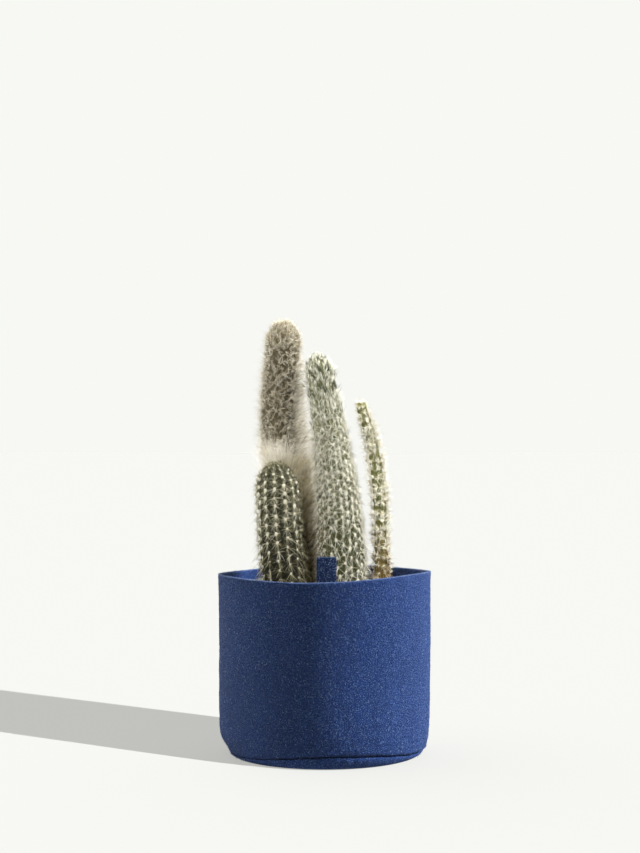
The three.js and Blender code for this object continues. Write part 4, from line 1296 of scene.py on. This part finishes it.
# painted shade: the spines on the right side are made 0.10 darker
tone = np.clip(np.where(brown, rng.normal(0.36, 0.14, len(zz)), rng.normal(0.96, 0.24, len(zz))) - 0.10 * smooth(0.5, 1.0, np.cos(ar[1][np.concatenate([radial["rep"], central["rep"]])])) - 0.40 * (1 - smooth(102, 136, zz)), 0, 1)
grow("spines_thin_right", [radial, central], tone, spine_thin, 2, 33, "stem_young")

# --- tall woolly stem at the back
st = stems["tall"]
rng = np.random.default_rng(41)
ar = areoles(st, 3.2, 97.5, tip_gap=0.8, young=0.1, jitter=0.5, rng=rng)
ar = crown(st, (ar[0], ar[1] + rng.normal(0, 0.09, len(ar[1])), ar[2]), 110, 15.0, rng)
skin = skin_material("skin_tall", lin(44, 37, 18), lin(74, 66, 42), lin(110, 101, 74), lin(50, 41, 20), lin(126, 117, 90))
stem_body("cactus_tall_back", st, skin, ar, 208, 330, bump=0.5, bands=0.15, dots=0.6)
g = np.clip(st.rad(ar[0]) / 9, 0.45, 1.0)
z = st.height(ar[0])
topness = smooth(225, 256, z)
P, N, U, W = st.place(ar[0], ar[1], np.full(len(ar[0]), 0.25))
wool_tall = wool_material("areole_wool_tall", lin(130, 120, 94), lin(180, 170, 144))
cushions("areoles_tall_back", P, N, U, 0.5 * g * rng.uniform(0.6, 1.3, len(P)), wool_tall, 42, fine=False, slot="stem_woolly")
spine_tall = strand_material(
    "spines_tall", [(0.0, lin(82, 70, 40)), (0.35, lin(150, 138, 106)), (0.7, lin(216, 206, 180)), (1.0, lin(252, 248, 236))], root=0.8
)
upper = z > 150
ar_u = (ar[0][upper], ar[1][upper])
gu, tu_ = g[upper], topness[upper]
full = np.maximum(gu, 0.8) * (1 - 0.24 * tu_ * smooth(3, 10, st.S - ar_u[0]))
rich = rng.normal(0, 1, len(gu))
fluff = bundle(st, ar_u, np.clip(7 + 2 * rich, 3, 13).astype(int), rng, aim=0.0, width=3.0, loose=1.0, lift=(12, 80), length=(0.8, 2.0), radius=0.11, droop=0.02, curl=0.08, disc=0.5, gain=full, lean=0.25)
radial = bundle(st, ar_u, np.clip(10 + 2 * rich, 5, 16).astype(int), rng, up=0.25 + 0.3 * tu_, width=1.4, loose=0.6, lift=(14, 62 + 8 * tu_), length=(2.2, 4.4), radius=0.125, droop=0.03, curl=0.03, inward=(-0.05, 0.05), gain=full, lean=0.30)
central = bundle(st, ar_u, 4, rng, up=0.4 + 0.4 * tu_, width=1.2, loose=0.5, lift=(34, 80), length=(3.0, 5.6), radius=0.12, droop=0.02, curl=0.03, inward=(-0.05, 0.05), gain=full, lean=0.35)
n1, n2, n3 = len(radial["L"]), len(central["L"]), len(fluff["L"])
zz = np.concatenate([radial["z"], central["z"], fluff["z"]])
tone = np.concatenate([rng.normal(0.83, 0.36, n1), rng.normal(0.96, 0.12, n2), rng.normal(0.90, 0.20, n3)]) + 0.07 * np.concatenate([rich[radial["rep"]], rich[central["rep"]], rich[fluff["rep"]]])
tone = np.clip(tone + 0.06 * smooth(215, 245, zz) - 0.14 * smooth(238, 258, zz) - 0.16 * smooth(252, 264, zz), 0, 1)
both = {k: np.concatenate([radial[k], central[k], fluff[k]]) for k in ("P", "D", "L", "R", "B")}
half = rng.permutation(n1 + n2 + n3) < (n1 + n2 + n3) // 2
for tag, pick in (("a", half), ("b", ~half)):
    grow("spines_tall_back_" + tag, {k: v[pick] for k, v in both.items()}, tone[pick], spine_tall, 2, 43, "stem_woolly")

# --- the long fleece on the tall stem: short below, a tuft where it starts, thin above
def fleece_material(name, stops, see_through):
    m = Mat(name, Specular_IOR_Level=0.3, Subsurface_Weight=see_through, Subsurface_Scale=0.002)
    m.bsdf.inputs["Subsurface Radius"].default_value = (1.0, 0.95, 0.85)
    u, v = m.uv()
    tone = m.ramp(u, stops)
    m.base(m.mix(1.0, tone, m.grey(v, [(0.0, 0.88), (0.35, 0.97), (1.0, 1.0)]), "MULTIPLY"))
    m.rough(m.grey(v, [(0.0, 0.75), (1.0, 0.6)]))
    return m.m


FLEECE_STOPS = [(0.0, lin(72, 58, 30)), (0.3, lin(132, 118, 84)), (0.6, lin(194, 185, 158)), (1.0, lin(252, 249, 240))]
fleece_mat = fleece_material("fleece", FLEECE_STOPS, 0.0)
gap_mat = fleece_material("fleece_low", [(0.0, lin(70, 53, 14)), (0.3, lin(138, 118, 64)), (0.6, lin(204, 190, 146)), (1.0, lin(252, 246, 222))], 0.0)
plume_mat = fleece_material("fleece_plume", FLEECE_STOPS, 0.0)


def fleece(name, st, count, z0, z1, rng, length, lift, up, radius, tone, seed, side_az=None, spread_az=math.pi, segs=4, curl=0.14, droop=0.05,
           slot="stem_woolly", clump=1, toward=None, sway=0.30, spot=0.6, mat=None, vary=0.11, bias=1.0, ragged=0.22, soft=False):
    """Long fine hair rooted anywhere on the skin between two heights, in locks of clump hairs each. side_az:
    the direction, seen from above in radians from +X, that the roots crowd round."""
    k = max(1, count // clump)
    s = st.at_height(z0) + (st.at_height(z1) - st.at_height(z0)) * rng.random(k) ** bias
    phi = rng.uniform(-math.pi, math.pi, k) if side_az is None else side_az + spread_az * (np.clip(rng.normal(0, 0.55, k), -0.9, 2) if soft else rng.uniform(-1, 1, k))
    rep = np.repeat(np.arange(k), clump)
    n = len(rep)
    rad = np.maximum(st.rad(s), 1.0)[rep]
    P0, N0, _, _ = st.place(s, phi, np.full(k, 0.2))
    P, N, U, W = st.place(s[rep] + rng.normal(0, spot, n) * (clump > 1), phi[rep] + rng.normal(0, spot, n) / rad * (clump > 1), np.full(n, 0.2))
    el = np.radians(rng.uniform(lift[0], lift[1], k))[rep][:, None]
    D = N * np.sin(el) + U * np.cos(el) * up + W * rng.normal(0, sway, k)[rep][:, None]
    if toward is not None:
        D = unit(D) + np.array(toward, float)[None]
    D = unit(D) + rng.normal(0, 0.07 if clump > 1 else 0.0, (n, 3))
    h = st.height(s)
    L = rng.uniform(1 - ragged, 1 + ragged, k)[rep] * rng.uniform(0.75, 1.1, n) * length(h)[rep]
    B = rng.normal(0, 1, (k, 3))[rep] * (curl * L)[:, None] + rng.normal(0, 1, (n, 3)) * (0.35 * curl * L)[:, None]
    if clump > 1:
        B = B - (P - P0[rep]) * 0.6
    B[:, 2] -= droop * L
    shade = rng.normal(tone(h), vary, k)[rep] + rng.normal(0, 0.07, n)
    ob = strands(name, P, D, L, radius * rng.uniform(0.7, 1.3, n), np.clip(shade, 0, 1), mat or fleece_mat, B, segs=segs, taper=0.75, seed=seed)
    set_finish(ob, slot)
    return ob


rng = np.random.default_rng(61)
FRONT, RIGHT = -math.pi / 2, 0.0
# darker towards the soil: partly the hair's own browner tone, partly painted shade between the stems and under the rim
fleece("fleece_tall_low", st, 6500, 97, 166, rng, lambda h: np.interp(h, [97, 130, 166], [7.0, 9.5, 11.0]), (12, 46), 1.0, 0.10, lambda h: np.interp(h, [97, 108, 130, 150, 165], [0.24, 0.47, 0.73, 0.84, 0.90]), 62, clump=3, vary=0.28, mat=gap_mat)
fleece("fleece_tall_left", st, 700, 156, 194, rng, lambda h: np.interp(h, [156, 194], [8.5, 4.5]), (5, 20), 1.0, 0.08, lambda h: np.interp(h, [156, 180, 194], [0.88, 0.74, 0.60]), 74, side_az=2.95, spread_az=0.45, segs=3, clump=3, sway=0.30, vary=0.26, bias=1.5, mat=gap_mat, ragged=0.40)
fleece("fleece_tall_back", st, 1900, 158, 206, rng, lambda h: np.interp(h, [158, 182, 206], [11.0, 9.0, 5.0]), (14, 60), 1.0, 0.09, lambda h: np.interp(h, [158, 185, 206], [0.78, 0.70, 0.60]), 73, side_az=1.55, spread_az=1.05, segs=4, clump=3, sway=0.40, vary=0.28, bias=1.7, mat=gap_mat, ragged=0.45)
fleece("fleece_tall_side", st, 3000, 126, 172, rng, lambda h: np.interp(h, [130, 150, 172], [9.0, 12.0, 12.0]), (22, 72), 0.8, 0.08, lambda h: np.interp(h, [130, 150, 170], [0.58, 0.76, 0.88]), 68, side_az=RIGHT - 0.35, spread_az=0.9, segs=5, clump=3, toward=(0.25, -0.1, 0.40), sway=0.50, vary=0.27, bias=1.1, mat=gap_mat, ragged=0.35)
fleece("fleece_tall_wisp", st, 1350, 162, 222, rng, lambda h: np.interp(h, [162, 190, 222], [15.0, 12.0, 8.0]), (26, 80), 0.8, 0.10, lambda h: np.interp(h, [164, 180], [0.90, 1.0]), 71, side_az=RIGHT + 0.16, spread_az=0.66, segs=5, clump=2, toward=(0.25, -0.1, 0.35), sway=0.55, vary=0.34, bias=1.3, mat=plume_mat, ragged=0.45)
fleece("fleece_tall_haze", st, 1000, 180, 240, rng, lambda h: np.interp(h, [180, 205, 240], [11.0, 10.0, 6.0]), (30, 85), 0.8, 0.09, lambda h: 0.80 + 0 * h, 69, side_az=RIGHT - 0.10, spread_az=0.66, segs=4, sway=0.6, vary=0.32, ragged=0.45, mat=plume_mat)
fleece("fleece_tall_tuft", st, 3500, 154, 178, rng, lambda h: np.interp(h, [154, 178], [23.0, 15.0]), (4, 36), 1.2, 0.065, lambda h: 0.88 + 0 * h, 63, side_az=FRONT - 0.34, spread_az=0.62, segs=5, curl=0.09, clump=4, sway=0.36, mat=plume_mat, toward=(0.07, -0.05, 0.28), vary=0.30, ragged=0.5, soft=True)
fleece("fleece_tall_ruff", st, 2100, 148, 174, rng, lambda h: np.interp(h, [148, 174], [13.0, 12.0]), (12, 50), 1.1, 0.08, lambda h: np.interp(h, [148, 172], [0.54, 0.80]), 70, side_az=FRONT + 0.60, spread_az=0.80, segs=5, curl=0.09, clump=3, sway=0.50, mat=gap_mat, toward=(0.15, -0.08, 0.25), vary=0.26, ragged=0.45, soft=True)
fleece("fleece_tall_high", st, 2400, 184, 262, rng, lambda h: np.interp(h, [184, 262], [8.0, 4.5]), (35, 85), 0.8, 0.045, lambda h: np.interp(h, [184, 262], [0.62, 0.56]), 64, segs=3, mat=plume_mat)

st = stems["middle"]
# darker towards the soil: partly the hair's own browner tone, partly painted shade between the stems and under the rim
fleece("fleece_middle_left", st, 1300, 98, 200, rng, lambda h: np.interp(h, [98, 150, 200], [8.5, 8.0, 6.0]), (16, 72), -0.6, 0.095, lambda h: np.interp(h, [98, 112, 125, 150, 200], [0.04, 0.20, 0.40, 0.70, 0.90]), 65, side_az=math.pi, spread_az=1.25, segs=4, slot="stem_silver", clump=2, sway=0.5, vary=0.2)
fleece("fleece_middle_right", st, 350, 98, 150, rng, lambda h: np.interp(h, [98, 150], [6.5, 3.5]), (20, 65), -0.5, 0.05, lambda h: 0.8 + 0 * h, 66, side_az=0.0, spread_az=0.9, segs=3, slot="stem_silver")
st = stems["thin"]
fleece("fleece_thin", st, 450, 98, 208, rng, lambda h: np.interp(h, [98, 140, 208], [5.5, 5.0, 4.0]), (30, 80), 0.4, 0.045, lambda h: np.interp(h, [98, 130, 200], [0.40, 0.60, 0.66]), 67, segs=3, slot="stem_young", mat=plume_mat)

# ------------------------------------------------------------------ camera, light, floor
scene = bpy.context.scene
cam_data = bpy.data.cameras.new("camera")
cam_data.lens = 74.74
cam_data.sensor_width = 36
cam = bpy.data.objects.new("camera", cam_data)
cam.location = (-0.00275, -1.083, 0.199)
cam.rotation_euler = (math.pi / 2, 0, 0)
scene.collection.objects.link(cam)
scene.camera = cam
scene.view_settings.view_transform = "Standard"
scene.view_settings.look = "None"

WHITE = lin(247, 248, 243)

floor_mesh = bpy.data.meshes.new("floor")
half_f = 12.0
floor_mesh.from_pydata([(-half_f, -half_f, -0.0003), (half_f, -half_f, -0.0003), (half_f, half_f, -0.0003), (-half_f, half_f, -0.0003)], [], [(0, 1, 2, 3)])
floor = bpy.data.objects.new("floor", floor_mesh)
scene.collection.objects.link(floor)
fm = Mat("floor_white", Specular_IOR_Level=0.0, Roughness=1.0)
fm.bsdf.inputs["Emission Color"].default_value = (WHITE[0], WHITE[1], WHITE[2], 1)
f_path = fm.node("ShaderNodeLightPath")
fm.link(fm.grey(f_path.outputs["Is Camera Ray"], [(0.0, 0.12), (1.0, 0.467)]), fm.bsdf.inputs["Emission Strength"])
fm.base(fm.ramp(f_path.outputs["Is Camera Ray"], [(0.0, (0.11, 0.11, 0.11, 1)), (1.0, (0.15, 0.151, 0.147, 1))]))
floor_mesh.materials.append(fm.m)
floor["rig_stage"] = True


def sun(name, azimuth, elevation, strength, angle, colour=(1, 1, 1)):
    """A sun whose light comes from azimuth (0 = the front, 90 = the right) and elevation, in degrees."""
    a, e = math.radians(azimuth), math.radians(elevation)
    d = bpy.data.lights.new(name, "SUN")
    d.energy, d.angle, d.color = strength, math.radians(angle), colour
    o = bpy.data.objects.new(name, d)
    back = (math.sin(a) * math.cos(e), -math.cos(a) * math.cos(e), math.sin(e))
    o.rotation_mode = "QUATERNION"
    o.rotation_quaternion = (-Vector(back)).to_track_quat("-Z", "Y")
    scene.collection.objects.link(o)
    return o


key = sun("key", 86, 34, 6.8, 16, (0.80, 0.90, 1.0))
pot_fill = sun("pot_fill", -20, 20, 0.4, 60, (1.0, 0.85, 0.6))
pot_left = sun("pot_left", -118, 5, 1.6, 40, (1.0, 0.97, 0.92))
floor_key = sun("floor_key", 54.2, 17, 28.4, 0.8)
on_floor = bpy.data.collections.new("lit_by_floor_key")
on_floor.objects.link(floor)
floor_key.light_linking.receiver_collection = on_floor
plants = bpy.data.collections.new("lit_as_plants")
pot_side = bpy.data.collections.new("lit_as_pot")
young_plant = bpy.data.collections.new("lit_as_young")
all_plants = bpy.data.collections.new("lit_as_all_plants")
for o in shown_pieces():
    slot = str(o.get("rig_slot", ""))
    (young_plant if slot == "stem_young" else plants if slot.startswith("stem_") else pot_side).objects.link(o)
    if slot.startswith("stem_"):
        all_plants.objects.link(o)
key.light_linking.receiver_collection = pot_side
pot_fill.light_linking.receiver_collection = pot_side
pot_left.light_linking.receiver_collection = pot_side
rim = sun("rim", 120, 28, 1.7, 20, (1.0, 0.99, 0.98))
rim.light_linking.receiver_collection = pot_side
key_plants = sun("key_plants", 98, 38, 6.4, 14, (1.0, 0.985, 0.955))
key_plants.light_linking.receiver_collection = plants
key_young = sun("key_young", 60, 40, 4.7, 24, (1.0, 0.985, 0.955))
key_young.light_linking.receiver_collection = young_plant
fill = sun("fill", -24, 42, 3.6, 40, (1.0, 0.98, 0.93))
fill.light_linking.receiver_collection = all_plants
glow = sun("glow", -30, 30, 2.6, 40, (1.0, 1.0, 1.0))
hair = bpy.data.collections.new("lit_by_glow")
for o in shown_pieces():
    if o.name in ("fleece_tall_tuft", "fleece_tall_haze", "fleece_tall_wisp"):
        hair.objects.link(o)
glow.light_linking.receiver_collection = hair

world = bpy.data.worlds.new("studio")
scene.world = world
world.use_nodes = True
wn = world.node_tree
wn.nodes.clear()
w_out = wn.nodes.new("ShaderNodeOutputWorld")
w_mix = wn.nodes.new("ShaderNodeMixShader")
w_path = wn.nodes.new("ShaderNodeLightPath")
w_back = wn.nodes.new("ShaderNodeBackground")
w_back.inputs[0].default_value = WHITE
w_back.inputs[1].default_value = 1.0
w_light = wn.nodes.new("ShaderNodeBackground")
w_co = wn.nodes.new("ShaderNodeTexCoord")
w_dot = wn.nodes.new("ShaderNodeVectorMath")
w_dot.operation = "DOT_PRODUCT"
w_dot.inputs[1].default_value = (-0.62, 0.785, 0.0)
wn.links.new(w_co.outputs["Generated"], w_dot.inputs[0])
# brighter behind the object and to its left, dim in front of it
w_map = wn.nodes.new("ShaderNodeMapRange")
w_map.inputs["From Min"].default_value = -0.3
w_map.inputs["From Max"].default_value = 1.0
w_map.inputs["To Min"].default_value = 0.20
w_map.inputs["To Max"].default_value = 1.85
wn.links.new(w_dot.outputs["Value"], w_map.inputs["Value"])
wn.links.new(w_map.outputs[0], w_light.inputs[1])
w_light.inputs[0].default_value = (1.0, 0.975, 0.92, 1)
wn.links.new(w_path.outputs["Is Camera Ray"], w_mix.inputs[0])
wn.links.new(w_light.outputs[0], w_mix.inputs[1])
wn.links.new(w_back.outputs[0], w_mix.inputs[2])
wn.links.new(w_mix.outputs[0], w_out.inputs[0])
